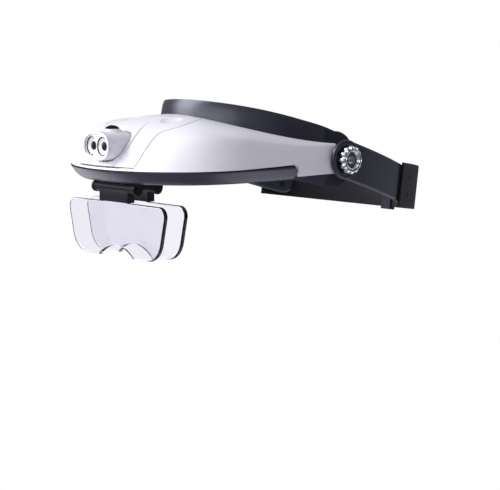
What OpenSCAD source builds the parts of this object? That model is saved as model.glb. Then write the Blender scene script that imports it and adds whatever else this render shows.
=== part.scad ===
// Lighted headband magnifier: a white visor with a tilting lamp and two hinged
// lens plates, worn on a forehead band and a rear strap that meet at the temples.
// Millimetres. The wearer faces -Y, the wearer's left is +X, and both temple
// pivots lie on the X axis, so the origin is the middle of the head opening.

/* [Head ring] */
// Half width of the forehead band at its widest, over its outer faces
band_half_w = 77.5; // [72:0.5:84]
// Distance from the temple pivots forward to the brow, over the band
brow_y = 90; // [84:1:94]
// How far the head's widest line lies behind the temple pivots
widest_y = 20; // [14:1:26]
// Thickness of the forehead band
band_t = 2.4; // [1.6:0.1:2.8]
// Height of the band's top edge over the pivots, at the brow
band_top_z = 44; // [38:0.5:48]
// Height of the band's lower edge over the pivots, at the brow
band_low_z = 4; // [0:0.5:8]
// How far the band's top edge leans back at the brow
band_lean = 5; // [4:0.5:8]
// Radius of the round lobe at each end of the band
lobe_r = 20.5; // [17:0.5:22]
// Thickness of the foam brow pad at the crown of a cell
pad_t = 6; // [4:0.5:9]
// Number of foam cells across the brow pad
pad_cells = 6; // [4:1:8]

/* [Visor] */
// Reach of the visor's lower edge past the band at each side
visor_over = 12.5; // [10:0.5:18]
// Distance from the temple pivots to where the visor's round front begins
visor_front_y = 92; // [88:1:96]
// Reach of the round front past that line
visor_reach = 67; // [64:0.5:72]
// Height of the shell's inner edge at the temples
edge_temple_z = 11.5; // [10:0.5:13]
// Height of the shell's inner edge at the brow
edge_brow_z = 33.2; // [32:0.2:36]
// Clear gap between the forehead band and the shell's inner edge
band_gap = 2.5; // [2:0.1:4]
// Further gap at the sides, so that the visor tips up past the band
side_gap = 4.5; // [4:0.25:5.5]
// Wall of the visor shell
shell_t = 2.2; // [1.6:0.1:2.6]
// Drop of the visor's lower edge for each millimetre forward
visor_fall = 0.027; // [0.02:0.001:0.035]
// Depth of the dark rim at the temples
rim_depth = 10.5; // [8:0.5:12]
// How far the rim's lower edge draws in at the front
rim_draw = 8.4; // [7:0.2:10]
// Wall of the dark rim
rim_t = 2.6; // [2:0.1:3]
// Distance from the temple pivots to the rim's rear ends
rim_end_y = 50; // [46:1:56]
// Seam between the centre panel and the shell
seam = 0.25; // [0.15:0.05:0.4]

/* [Temple pivots] */
// Diameter of the pivot studs
stud_d = 5; // [4:0.1:6]
// Thickness of the friction washers
washer_t = 1.5; // [1:0.1:2]
// Length of the arm boss along the pivot
boss_l = 8.4; // [7:0.1:10]
// Radius of the arm's round end
arm_r = 11.5; // [10:0.5:12.5]
// Outer radius of the knobs, over their flutes
knob_r = 10.6; // [9:0.2:12]
// Thickness of the knobs
knob_t = 6; // [5:0.5:9]
// Number of flutes round a knob
knob_flutes = 12; // [9:1:20]

/* [Rear strap] */
// Radius of the strap tab's round end
tab_r = 14.5; // [13:0.5:16]
// Width of the strap tabs
tab_w = 28; // [24:0.5:29]
// Thickness of the strap tabs
tab_t = 3; // [2:0.1:3.6]
// Length of the strap tabs behind the pivots
tab_l = 96; // [88:1:104]
// Where the strap starts to cover a tab, behind the pivots
strap_start = 71; // [68:1:78]
// Reach of the strap behind the pivots
strap_reach = 142; // [136:1:150]
// Width of the strap
strap_w = 35; // [31:0.5:40]
// Thickness of the strap
strap_t = 2; // [1.4:0.1:2.4]
// Height of the strap's top edge over its own middle plane
strap_top = 4; // [2:0.5:6]
// Angle at which the strap falls towards the nape
strap_fall = 8; // [5:0.5:13]
// Angle by which the tabs point further down than the strap
tab_turn = 9.5; // [4:0.5:11]

/* [Lamp] */
// Half width of the lamp body
lamp_half_w = 15.5; // [14.5:0.1:15.8]
// Half height of the lamp body
lamp_half_h = 10.2; // [9.4:0.1:10.4]
// Height of the lamp's axis over the temple pivots
lamp_z = 12.4; // [12:0.1:13]
// Length of the lamp body in front of its tilt pins
lamp_l = 19.5; // [19:0.5:22]
// Distance from the temple pivots to the lamp's tilt pins
lamp_pin_y = 141.5; // [141:0.1:142]
// Wall of the lamp body
lamp_t = 1.6; // [1.2:0.1:1.8]
// Distance between the two diodes
led_pitch = 12.8; // [12.6:0.1:13.6]
// Diameter of the diodes
led_d = 5; // [4.6:0.1:5]
// Radius of the domed button
button_r = 4.9; // [4:0.1:5]
// Travel of the button
button_travel = 1; // [0.6:0.1:1]

/* [Lens clips and plates] */
// Distance from the temple pivots to the front lens hinge
front_hinge_y = 144; // [143.6:0.2:145]
// Distance between the front and rear lens hinges
hinge_pitch = 18; // [17:0.2:19]
// Depth of the lens hinges below the temple pivots
hinge_z = 18.2; // [18:0.1:19]
// Diameter of the lens hinge pins
pin_d = 2.5; // [2:0.1:3]
// Radius of the bracket's hinge lugs
lug_r = 4.2; // [3.6:0.1:4.2]
// Distance from the middle to the bracket's cheeks
cheek_x = 24; // [24:0.5:28]
// Half width of the clips
clip_half_w = 17; // [15:0.5:20]
// Half width of a lens plate
plate_half_w = 57.5; // [50:0.5:60]
// Height of a lens plate below its clip
plate_h = 39.6; // [34:0.2:42]
// Thickness of a lens plate in its middle
plate_t = 3.6; // [3:0.1:4]
// Radius of a lens plate's lower corners
plate_corner = 17; // [12:0.5:19]
// Radius of a lens plate's upper corners
top_corner = 7; // [5:0.5:9]
// How far a lens plate draws in towards its lower corners
plate_taper = 4; // [0:0.5:6]
// Radius of the arch over the nose
nose_r = 30; // [22:1:36]
// Height of the arch over the nose
arch_h = 8; // [5:0.5:10]

/* [Battery tray] */
// Diameter of a cell
cell_d = 10.5; // [10:0.1:10.5]
// Length of a cell
cell_l = 44.5; // [42:0.5:44.5]
// Number of cells side by side
cell_count = 3; // [1:1:3]
// Wall of the battery tray
tray_t = 1.2; // [1:0.1:1.4]

/* [Hidden] */
$fn = 64;

// Clearances: a running fit on a pin, a gap between moving faces, a gap between fixed faces
fit = 0.05;
move_gap = 0.3;
set_gap = 0.1;

// Half width of the visor at its lower edge
visor_half_w = band_half_w + visor_over;

// Places along the temple pivot, from the band outwards
lobe_x = band_half_w - 0.9;
boss_x = lobe_x + washer_t + 2 * fit;
tab_gap = 0.75;
tab_x = boss_x + boss_l + tab_gap;
knob_x = tab_x + tab_t + move_gap;
knob_recess = 2;
stud_head_t = 1.6;
stud_head_r = stud_d * 1.2;
stud_end_x = knob_x + knob_t - knob_recess + 1.3;

// Sheets and tubes from grids of points

// Triangles that close a grid of outer points over a grid of inner points.
// Cells for which hole(i, j) holds are left open, with walls round them.
function grid_faces(ni, nj, hi, hj) =
    let (o = ni * nj,
         id = function (i, j) i * nj + j,
         kept = function (i, j) i >= 0 && j >= 0 && i < ni - 1 && j < nj - 1
                && !(i >= hi[0] && i < hi[1] && j >= hj[0] && j < hj[1]))
    concat(
        [for (i = [0:ni - 2], j = [0:nj - 2]) if (kept(i, j)) each [
            [id(i, j), id(i + 1, j), id(i + 1, j + 1)], [id(i, j), id(i + 1, j + 1), id(i, j + 1)],
            [o + id(i, j), o + id(i + 1, j + 1), o + id(i + 1, j)],
            [o + id(i, j), o + id(i, j + 1), o + id(i + 1, j + 1)]]],
        [for (i = [0:ni - 2], j = [0:nj - 2]) if (kept(i, j)) each concat(
            kept(i, j - 1) ? [] : wall(id(i, j), id(i + 1, j), o),
            kept(i, j + 1) ? [] : wall(id(i + 1, j + 1), id(i, j + 1), o),
            kept(i - 1, j) ? [] : wall(id(i, j + 1), id(i, j), o),
            kept(i + 1, j) ? [] : wall(id(i + 1, j), id(i + 1, j + 1), o))]);
function wall(a, b, o) = [[b, a, a + o], [b, a + o, b + o]];

// A sheet between two grids, rows of points each, with an optional open block of cells
module sheet_solid(outer, inner, hi = [0, 0], hj = [0, 0]) {
    polyhedron(points = concat([for (r = outer) each r], [for (r = inner) each r]),
               faces = grid_faces(len(outer), len(outer[0]), hi, hj), convexity = 6);
}

// A closed solid through rings of as many points each, with flat ends
module ring_solid(rings) {
    n = len(rings);
    m = len(rings[0]);
    points = concat([for (r = rings) each r], [mean(rings[0]), mean(rings[n - 1])]);
    faces = concat(
        [for (i = [0:n - 2], j = [0:m - 1]) let (k = (j + 1) % m) each [
            [i * m + j, i * m + k, (i + 1) * m + k], [i * m + j, (i + 1) * m + k, (i + 1) * m + j]]],
        [for (j = [0:m - 1]) [n * m, (j + 1) % m, j]],
        [for (j = [0:m - 1]) [n * m + 1, (n - 1) * m + j, (n - 1) * m + (j + 1) % m]]);
    polyhedron(points = points, faces = faces, convexity = 6);
}
function mean(list) = [for (k = [0:2]) add([for (p = list) p[k]]) / len(list)];
function add(v, i = 0) = i < len(v) ? v[i] + add(v, i + 1) : 0;
function unit(v) = v / norm(v);
function mix(a, b, t) = a * (1 - t) + b * t;
function flip_x(p) = [-p[0], p[1], p[2]];
// A list of rows for the left half, joined to its mirror image without the middle row twice
function both_sides(rows) =
    concat(rows, [for (i = [len(rows) - 2:-1:0]) [for (p = rows[i]) flip_x(p)]]);

// A cylinder along X from x0 to x1 at height z and depth y
module rod_x(x0, x1, r, y = 0, z = 0) {
    translate([min(x0, x1), y, z]) rotate([0, 90, 0]) cylinder(r = r, h = abs(x1 - x0));
}
module block(lo, hi) {
    translate(lo) cube(hi - lo);
}
module left_and_right() {
    children();
    mirror([1, 0, 0]) children();
}

// The forehead band

function ring(t, grow = 0) = [(band_half_w + grow) * cos(t),
    widest_y - (brow_y + widest_y + grow) * sin(t)];
function forward(y) = max(0, -y / brow_y);
function band_top(y) = lobe_r + (band_top_z - lobe_r) * (1.41 * forward(y) - 0.41 * forward(y) ^ 2);
function band_low(y) = (band_low_z + lobe_r) * forward(y) ^ 1.4 - lobe_r;
band_start_y = -30;
band_start = asin((widest_y - band_start_y) / (brow_y + widest_y));
band_across = [0, 0.08, 0.5, 0.92, 1];
band_round = [-0.8, 0, 0.3, 0, -0.8];
band_steps = 18;

// One row of band points at ring angle t, on the outer face (side 1) or the inner face (side -1)
function band_row(t, side) = let (y = ring(t)[1])
    [for (k = [0:4]) let (w = band_across[k],
        grow = (side > 0 ? band_round[k] : -band_t - band_round[k] * 0.5) - band_lean * w * w * sin(t) ^ 2,
        p = ring(t, grow)) [p[0], p[1], mix(band_low(y), band_top(y), w)]];
// One row of the flat lobe at depth y
function lobe_row(y, side) = let (
        half = y > 0 ? lobe_r * sqrt(max(0.02, 1 - (y / lobe_r) ^ 2)) : 0,
        top = y > 0 ? half : band_top(y), low = y > 0 ? -half : band_low(y))
    [for (k = [0:4]) [lobe_x - (side > 0 ? 0 : band_t), y, mix(low, top, band_across[k])]];
lobe_ys = [lobe_r - 0.2, lobe_r - 1.2, lobe_r - 3, lobe_r - 6, lobe_r - 12, 0, -6];
function band_half(side) = concat([for (y = lobe_ys) lobe_row(y, side)],
    [for (i = [0:band_steps]) band_row(band_start + (90 - band_start) * i / band_steps, side)]);

module forehead_band() {
    color("#2b2d38") difference() {
        sheet_solid(both_sides(band_half(1)), both_sides(band_half(-1)));
        rod_x(-band_half_w - 5, band_half_w + 5, stud_d / 2 + fit);
    }
}

// Foam pad behind the brow: a crowned strip, drawn in between its cells
pad_end = 38;
pad_steps = 48;
pad_around = 10;
pad_inset = 4;
function pad_ring(i) = let (
        t = mix(pad_end, 180 - pad_end, i / pad_steps), y = ring(t)[1],
        cell = abs(sin(180 * pad_cells * i / pad_steps)) ^ 0.6,
        tip = min(1, 6 * min(i, pad_steps - i) / pad_steps + 0.25),
        thick = (1.8 + (pad_t - 1.8) * cell) * tip,
        low = band_low(y) + pad_inset, top = band_top(y) - pad_inset)
    [for (k = [0:pad_around - 1]) let (a = 360 * k / pad_around,
        across = 0.5 + 0.5 * cos(a) * (0.9 + 0.1 * cell) * (0.85 + 0.15 * tip),
        depth = 0.5 - 0.5 * sin(a),
        z = mix(low, top, across),
        w = (z - band_low(y)) / (band_top(y) - band_low(y)),
        p = ring(t, -band_t - set_gap - band_lean * w * w * sin(t) ^ 2 - thick * depth - 0.3))
        [p[0], p[1], z]];
module brow_pad() {
    color("#3a3b40") ring_solid([for (i = [0:pad_steps]) pad_ring(i)]);
}

module pivot_studs() {
    slot_w = 1;
    slot_d = 1.2;
    head_x = lobe_x - band_t - fit;
    color("#d9dadd") left_and_right() {
        rod_x(head_x - stud_head_t, head_x, stud_head_r);
        difference() {
            rod_x(head_x, stud_end_x, stud_d / 2);
            block([stud_end_x - slot_d, -stud_d, -slot_w / 2], [stud_end_x + 1, stud_d, slot_w / 2]);
        }
    }
}

module friction_washers() {
    washer_r = 8;
    color("#b7b2a4") left_and_right() difference() {
        rod_x(lobe_x + fit, lobe_x + fit + washer_t, washer_r);
        rod_x(lobe_x - 1, lobe_x + washer_t + 2, stud_d / 2 + fit);
    }
}

// The visor shell is one skin: angle u runs from the left arm (0) over the
// front (90) to the right arm (180) and s runs from the lower edge to the inner edge.

arm_u = 28;
arm_x = boss_x + boss_l;
side_y0 = -6;
rim_u0 = arm_u * (rim_end_y + side_y0) / (visor_front_y + side_y0);
// Share of the rise from the lower edge to the inner edge, up the sides and up the flatter front
side_profile = [[0, 0], [0.06, 0.22], [0.12, 0.42], [0.18, 0.61], [0.24, 0.75], [0.32, 0.83],
    [0.45, 0.92], [0.62, 0.975], [0.8, 1], [1, 1]];
front_profile = [[0, 0], [0.06, 0.19], [0.12, 0.355], [0.18, 0.49], [0.24, 0.6], [0.32, 0.715],
    [0.45, 0.83], [0.62, 0.92], [0.8, 0.98], [1, 1]];
function rise(u, s) = let (w = min(1, max(0, (u - 50) / 25)))
    mix(lookup(s, side_profile), lookup(s, front_profile), w * w * (3 - 2 * w));
function lower_z(y) = visor_fall * y;
// Drop of the arms' lower edge below that, behind the rim's ends
function arm_drop(u, y) = u < rim_u0 - 0.6 ? rim_depth - 0.4 + lower_z(y) : 0;
function edge_z(y) = let (q = max(0, -y / (brow_y + band_gap)))
    edge_temple_z + (edge_brow_z - edge_temple_z) * (0.24 * q + 0.76 * q * q);
// Lower edge in plan at u, drawn in by d
function lower_edge(u, d = 0) = u < arm_u
    ? let (y = mix(side_y0, -visor_front_y, u / arm_u), near = min(1, max(0, 1 + (y + 14) / 36)))
      [visor_half_w - d - (visor_half_w - arm_x) * near * near * (3 - 2 * near), y]
    : let (a = 90 * (u - arm_u) / (90 - arm_u))
      [(visor_half_w - d) * cos(a), -visor_front_y - (visor_reach - d) * sin(a)];
function inner_tau(u) = u < arm_u ? mix(inner_start, 50, u / arm_u) : mix(50, 90, (u - arm_u) / (90 - arm_u));
inner_start = asin((widest_y - side_y0) / (brow_y + widest_y + band_gap));
function edge_ring(t) = ring(t, band_gap) + [side_gap * cos(t), 0];
shell_inset = 0.6;
function skin_half(u, s) = let (a = lower_edge(u, shell_inset), b = edge_ring(inner_tau(u)),
        p = mix(a, b, s))
    [p[0], p[1], mix(lower_z(a[1]) + set_gap / 2, edge_z(b[1]), rise(u, s))
        - arm_drop(u, a[1]) * max(0, 1 - s / panel_s[0])];
function skin(u, s) = u <= 90 ? skin_half(u, s) : flip_x(skin_half(180 - u, s));
function skin_normal(u, s) = let (e = 0.01, u1 = min(180, u + 1), u0 = max(0, u - 1),
        s1 = min(1, s + e), s0 = max(0, s - e))
    unit(cross(skin(u, s1) - skin(u, s0), skin(u1, s) - skin(u0, s)));
// The wall's inner face, off the skin by d, but level along the lower edge
function skin_in(u, s, d) = let (n = skin_normal(u, s))
    skin(u, s) - d * (s > 0 ? n : unit([n[0], n[1], 0]));

// The centre panel's side seam, as the angle u at which it crosses each s
seam_table = [[0, 75.5], [0.02, 75.1], [0.064, 74], [0.128, 73], [0.224, 71.8], [0.316, 70.4],
    [0.378, 67], [0.446, 62.6], [0.55, 60.6], [0.654, 59.4], [1, 58.7]];
panel_s = [0.012, 0.04, 0.08, 0.14, 0.18, 0.24, 0.32, 0.45, 0.62, 0.8, 0.96];
shell_s = concat([0], panel_s, [1]);
panel_cols = 16;
arm_us = [0, 4, 8, 11.5, rim_u0 - 0.8, rim_u0 - 0.45, 17.5, 22.5];
side_cols = 6;
side_lines = len(arm_us) + side_cols;
// Angle of grid line c on row s: the arm's lines, the side's, then the lines across the panel
function grid_u(c, s) = let (na = len(arm_us), ns = side_lines, n = 2 * ns + panel_cols, edge = lookup(s, seam_table))
    c < na ? arm_us[c]
    : c < ns ? mix(arm_u, edge, (c - na) / side_cols)
    : c <= ns + panel_cols ? mix(edge, 180 - edge, (c - ns) / panel_cols)
    : 180 - grid_u(n - c, s);
shell_lines = 2 * side_lines + panel_cols;
function shell_rows(d) = [for (c = [0:shell_lines]) [for (s = shell_s)
    d == 0 ? skin(grid_u(c, s), s) : skin_in(grid_u(c, s), s, d)]];

// Bosses that stand on the shell's inner side: for the lens bracket and the battery tray
cheek_t = 2.6;
screw_head_r = 2;
bracket_boss_x = cheek_x - cheek_t / 2 - screw_head_r - move_gap;
bracket_boss = skin(90 - 11 * bracket_boss_x / skin(79, 0.3)[0], 0.3);
tray_boss = skin(64, 0.62);
boss_sink = 1.7;
bracket_top = -hinge_z + lug_r + 2.7;
tray_flange_z = 18;
boss_r = 2.8;
pilot_r = 1.1;
screw_r = 1.05;
screw_l = 5;

module visor_shell() {
    color("#f2f2f4") difference() {
        union() {
            sheet_solid(shell_rows(0), shell_rows(shell_t),
                        [side_lines, side_lines + panel_cols], [1, len(shell_s) - 2]);
            left_and_right() {
                rod_x(arm_x - shell_t, arm_x, arm_r);
                rod_x(boss_x, arm_x - shell_t, arm_r - 4);
            }
        }
        rod_x(-arm_x - 2, arm_x + 2, stud_d / 2 + fit);
    }
}

// Opening through which the lamp body stands, over a low lip in front
lamp_gap = 0.6;
lamp_up = 8;
lamp_down = 3;
tilt_room = 2.1;
module lamp_hole() {
    w = collar_r + 0.6;
    r = lamp_half_h + lamp_gap;
    reach = lamp_l + 12;
    ring_solid([for (k = [-1, 0, 0.5, 0.85]) let (d = k < 0 ? reach : 0,
            up = d * sin(lamp_up), low = d * sin(lamp_down))
        [for (p = oval(lamp_half_w + lamp_gap - 2 * max(0, k) ^ 3,
                (k < 0 ? r : r * sqrt(1 - k * k)) + (up + low) / 2, k * (k < 0 ? reach : r) - lamp_pin_y, 28))
            p + [0, 0, (up - low) / 2]]]);
    block([-w, -lamp_pin_y - 12, lamp_z], [w, collar_r + tilt_room - button_y, 60]);
}

// Ears under the panel that hold the lamp's tilt pins
ear_t = 2.4;
ear_x = lamp_half_w + lamp_gap + 0.3;
ear_r = 3.3;
lamp_pin_r = 1.5;
module lamp_ear() {
    tops = [for (s = [0.2, 0.24, 0.32]) skin_in(80.2, s, shell_t / 2)];
    difference() {
        union() {
            rod_x(ear_x, ear_x + ear_t, ear_r, -lamp_pin_y, lamp_z);
            translate([ear_x, 0, 0]) rotate([90, 0, 90]) linear_extrude(ear_t)
                polygon(concat([[-lamp_pin_y - ear_r, lamp_z]], [for (p = tops) [p[1], p[2]]],
                               [[tops[2][1], lamp_z + ear_r], [-lamp_pin_y + ear_r, lamp_z]]));
        }
        pin_bore();
    }
}
module pin_bore() {
    rod_x(ear_x - 1, ear_x + ear_t + 1, lamp_pin_r + fit, -lamp_pin_y, lamp_z);
}

// A boss under the panel at place p, from height z up into the panel's wall
module boss_under(p, z) {
    difference() {
        translate([p[0], p[1], z]) cylinder(r = boss_r, h = p[2] - boss_sink - z);
        translate([p[0], p[1], z - 1]) cylinder(r = pilot_r, h = 1 + screw_l);
    }
}

// Shallow thumb dishes in the panel's top, near the brow
dish_r = 30;
dish_depth = 1;
thumb_dish = skin(73.6, 0.67) + (dish_r - dish_depth) * skin_normal(73.6, 0.67);
module centre_panel() {
    trim_c = 0.012;
    trim_s = 0.006;
    last = len(panel_s) - 1;
    rows = function (d) [for (c = [0:panel_cols]) [for (k = [0:last])
        let (s = panel_s[k] + (k == 0 ? trim_s : 0) - (k == last ? trim_s : 0),
             edge = lookup(s, seam_table),
             u = mix(edge, 180 - edge, trim_c + (1 - 2 * trim_c) * c / panel_cols))
        d == 0 ? skin(u, s) : skin_in(u, s, d)]];
    color("#f4f4f6") {
        difference() {
            sheet_solid(rows(0), rows(shell_t));
            lamp_hole();
            left_and_right() {
                translate(thumb_dish) sphere(r = dish_r);
                pin_bore();
            }
        }
        left_and_right() {
            lamp_ear();
            boss_under(bracket_boss, bracket_top);
            boss_under(tray_boss, tray_flange_z);
        }
    }
}

// The dark rim under the shell's lower edge
rim_steps = 24;
function rim_section(u) = let (y = lower_edge(u)[1], ease = min(1, max(0, (u - 8) / 34)),
        draw = mix(3, rim_draw, ease * ease * (3 - 2 * ease)),
        top = lower_z(y) - set_gap / 2, low = -rim_depth + 0.022 * y,
        at = function (d, t) let (p = lower_edge(u, d)) [p[0], p[1], mix(top, low, t)])
    [at(0, 0), at(0.2 * draw - 0.5, 0.3), at(0.55 * draw - 0.5, 0.7), at(draw, 1),
     at(draw + rim_t - 0.4, 1), at(0.55 * draw + rim_t, 0.55), at(rim_t, 0)];
module visor_rim() {
    half = [for (i = [0:rim_steps]) rim_section(mix(rim_u0, 90, i / rim_steps))];
    rings = concat(half, [for (i = [rim_steps - 1:-1:0]) [for (p = half[i]) flip_x(p)]]);
    color("#55545f") ring_solid(rings);
}

// Battery tray, open below, with rails for its sliding door
tray_top = 19.5;
tray_front = -130.6;
cell_gap = 0.25;
contact_room = 3.5;
cells_w = cell_count * (cell_d + cell_gap);
tray_back = tray_front + cells_w + 2 * tray_t;
tray_x = cell_l / 2 + contact_room + tray_t;
door_t = 1.2;
door_low = tray_top - tray_t - cell_d - 2 * cell_gap - door_t;
rail_low = door_low - tray_t;
cell_z = tray_top - tray_t - cell_gap - cell_d / 2;
function cell_y(i) = tray_front + tray_t + (i + 0.5) * (cell_d + cell_gap);
flange_x = tray_boss[0] + boss_r + 0.6;
flange_t = 2;
module battery_tray() {
    color("#35363c") difference() {
        union() {
            block([-tray_x, tray_front, rail_low], [tray_x, tray_back, tray_top]);
            for (side = [-1, 1])
                translate([side * flange_x - (side > 0 ? flange_x - tray_x + 1 : 0),
                           tray_boss[1] - boss_r, tray_flange_z - flange_t - set_gap])
                    cube([flange_x - tray_x + 1, 2 * boss_r, flange_t]);
        }
        block([-tray_x + tray_t, tray_front + tray_t, door_low],
              [tray_x - tray_t, tray_back - tray_t, tray_top - tray_t]);
        block([-tray_x + tray_t, tray_front + tray_t, door_low - fit],
              [tray_x + 1, tray_back - tray_t, door_low + door_t + fit]);
        block([-tray_x + 2 * tray_t, tray_front + 2 * tray_t, rail_low - 1],
              [tray_x + 1, tray_back - 2 * tray_t, door_low]);
        for (side = [-1, 1]) translate([side * tray_boss[0], tray_boss[1], 0])
            cylinder(r = screw_r + 0.2, h = tray_top + 10);
    }
}
module battery_door() {
    grip_n = 6;
    color("#3c3d44") {
        difference() {
            block([-tray_x + tray_t + 0.2, tray_front + tray_t + 0.2, door_low],
                  [tray_x, tray_back - tray_t - 0.2, door_low + door_t]);
            for (i = [0:grip_n - 1])
                block([tray_x - 6 - 2.4 * i, tray_front + 12, door_low - 1],
                      [tray_x - 4.8 - 2.4 * i, tray_back - 12, door_low + 0.4]);
        }
    }
}
module battery_cells() {
    nub_r = 2.7;
    nub_l = 1;
    for (i = [0:cell_count - 1]) let (way = i % 2 == 0 ? 1 : -1) {
        color("#c9a24a") rod_x(-way * cell_l / 2, way * (cell_l / 2 - nub_l - 8), cell_d / 2, cell_y(i), cell_z);
        color("#303238") rod_x(way * (cell_l / 2 - nub_l - 8), way * (cell_l / 2 - nub_l), cell_d / 2, cell_y(i), cell_z);
        color("#d0d2d6") rod_x(way * (cell_l / 2 - nub_l), way * cell_l / 2, nub_r, cell_y(i), cell_z);
    }
}
contact_t = 0.4;
contact_in = tray_x - tray_t - fit;
module contact_plates() {
    color("#d6d8dc") for (i = [0:cell_count - 1], side = [-1, 1])
        translate([side * (contact_in - contact_t / 2), cell_y(i), cell_z])
            cube([contact_t, cell_d - 2, cell_d - 2], center = true);
}
// A coil of round wire about Z, from radius r0 at the bottom to r1 at height h
module coil(r0, r1, h, turns, wire_r) {
    per_turn = 14;
    ring_solid([for (i = [0:turns * per_turn]) let (t = i / (turns * per_turn), a = 360 * turns * t, r = mix(r0, r1, t))
        [for (k = [0:5]) let (b = 60 * k, q = r + wire_r * cos(b)) [q * cos(a), q * sin(a), h * t + wire_r * sin(b)]]]);
}
module contact_springs() {
    wire_r = 0.35;
    start = contact_in - contact_t - fit - wire_r;
    gap = start - cell_l / 2 - fit - wire_r;
    color("#caccd0") for (i = [0:cell_count - 1])
        translate([(i % 2 == 0 ? -1 : 1) * start, cell_y(i), cell_z]) rotate([0, i % 2 == 0 ? 90 : -90, 0])
            coil(cell_d * 0.3, cell_d * 0.17, gap, 3, wire_r);
}

// Lens bracket: a plate screwed under the bosses, with two lugged cheeks
rear_hinge_y = front_hinge_y - hinge_pitch;
bracket_t = 2;
bracket_low = bracket_top - bracket_t - set_gap;
module lens_bracket() {
    back = -rear_hinge_y + lug_r + 0.3;
    color("#17181c") difference() {
        union() {
            translate([0, 0, bracket_low]) linear_extrude(bracket_t)
                polygon([[-cheek_x, back], [cheek_x, back], [cheek_x, -front_hinge_y + 3.5],
                         [cheek_x - 12, -front_hinge_y - 1], [12 - cheek_x, -front_hinge_y - 1],
                         [-cheek_x, -front_hinge_y + 3.5]]);
            left_and_right() {
                for (y = [front_hinge_y, rear_hinge_y])
                    rod_x(cheek_x - cheek_t / 2, cheek_x + cheek_t / 2, lug_r, -y, -hinge_z);
                block([cheek_x - cheek_t / 2, -front_hinge_y + 1.6, -hinge_z], [cheek_x + cheek_t / 2, back, bracket_low + bracket_t]);
            }
        }
        for (y = [front_hinge_y, rear_hinge_y])
            rod_x(-cheek_x - cheek_t, cheek_x + cheek_t, pin_d / 2 + fit / 2, -y, -hinge_z);
        left_and_right() translate([bracket_boss[0], bracket_boss[1], bracket_low - 1])
            cylinder(r = screw_r + 0.2, h = bracket_t + 2);
    }
}
module hinge_pins() {
    color("#202126") for (y = [front_hinge_y, rear_hinge_y])
        rod_x(-cheek_x - cheek_t / 2 - 0.6, cheek_x + cheek_t / 2 + 0.6, pin_d / 2, -y, -hinge_z);
}
// A pan head screw pointing up, its head's upper face at height z
module screw_up(p, z, l) {
    head_t = 1.1;
    translate([p[0], p[1], z - head_t]) difference() {
        union() {
            cylinder(r = screw_head_r, h = head_t);
            cylinder(r = screw_r, h = head_t + l);
        }
        translate([-screw_head_r, -0.3, -1]) cube([2 * screw_head_r, 0.6, 1.4]);
    }
}
module bracket_screws() {
    color("#b9bbc0") left_and_right() screw_up(bracket_boss, bracket_low - fit, screw_l);
}
module tray_screws() {
    color("#b9bbc0") left_and_right() screw_up(tray_boss, tray_flange_z - flange_t - set_gap - fit, screw_l);
}

// Lead from the tray's front wall into the back of the lamp body
lead_r = 0.9;
lead_x = 4;
module lamp_lead() {
    drop = cell_z - lamp_z - 0.4;
    reach = 8.8;
    steps = 8;
    color("#8a1d1d") ring_solid([for (i = [0:steps]) let (q = i / steps, fall = q * q * (3 - 2 * q),
            slope = atan(6 * q * (1 - q) * drop / reach))
        [for (k = [0:11]) let (a = -30 * k)
            [lead_x + lead_r * cos(a), tray_front - set_gap - 0.05 - reach * q + lead_r * sin(a) * sin(slope),
             cell_z - drop * fall + lead_r * sin(a) * cos(slope)]]]);
}

// The lamp: an oval body that tapers into a tail round its tilt pins

function oval(hw, hh, y, n = 40) = [for (i = [0:n - 1]) let (a = 360 * i / n, c = cos(a), s = sin(a))
    [hw * sign(c) * abs(c) ^ 0.77, y, lamp_z + hh * sign(s) * abs(s) ^ 0.77]];
lamp_face = -lamp_pin_y - lamp_l;
tail_half = function (d) sqrt(max(0.4, lamp_half_h ^ 2 - d ^ 2));
function lamp_rings(w) = concat(
    [oval(lamp_half_w - w, lamp_half_h - w, lamp_face - (w > 0 ? 1 : 0)),
     oval(lamp_half_w - w, lamp_half_h - w, lamp_face + 6),
     oval(lamp_half_w - w - 0.4, lamp_half_h - w, -lamp_pin_y)],
    [for (k = [0.3, 0.5, 0.7, 0.85, 0.96]) let (d = (lamp_half_h - w) * k)
        oval(lamp_half_w * (1 - 0.26 * k ^ 3) - w - 0.4, tail_half(d) - (w > 0 ? w : 0), d - lamp_pin_y)]);
button_y = 147.4;
collar_r = button_r + 1.2;
collar_h = 1.7;
button_z = lamp_z + lamp_half_h;
module lamp_housing() {
    color("#f3f3f5") difference() {
        union() {
            ring_solid(lamp_rings(0));
            translate([0, -button_y, lamp_z + lamp_t]) cylinder(r = collar_r, h = lamp_half_h - lamp_t + collar_h);
        }
        ring_solid(lamp_rings(lamp_t));
        translate([0, -button_y, lamp_z]) cylinder(r = button_r + fit + 0.1, h = lamp_half_h * 2);
        rod_x(-lamp_half_w - 2, lamp_half_w + 2, lamp_pin_r + fit, -lamp_pin_y, lamp_z);
        translate([lead_x, -lamp_pin_y, lamp_z]) rotate([-87, 0, 0]) cylinder(r = 3.2, h = lamp_half_h * 2);
    }
}
module lamp_pins() {
    color("#c4c6ca") left_and_right() rod_x(lamp_half_w - 3, ear_x + ear_t, lamp_pin_r, -lamp_pin_y, lamp_z);
}
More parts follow.
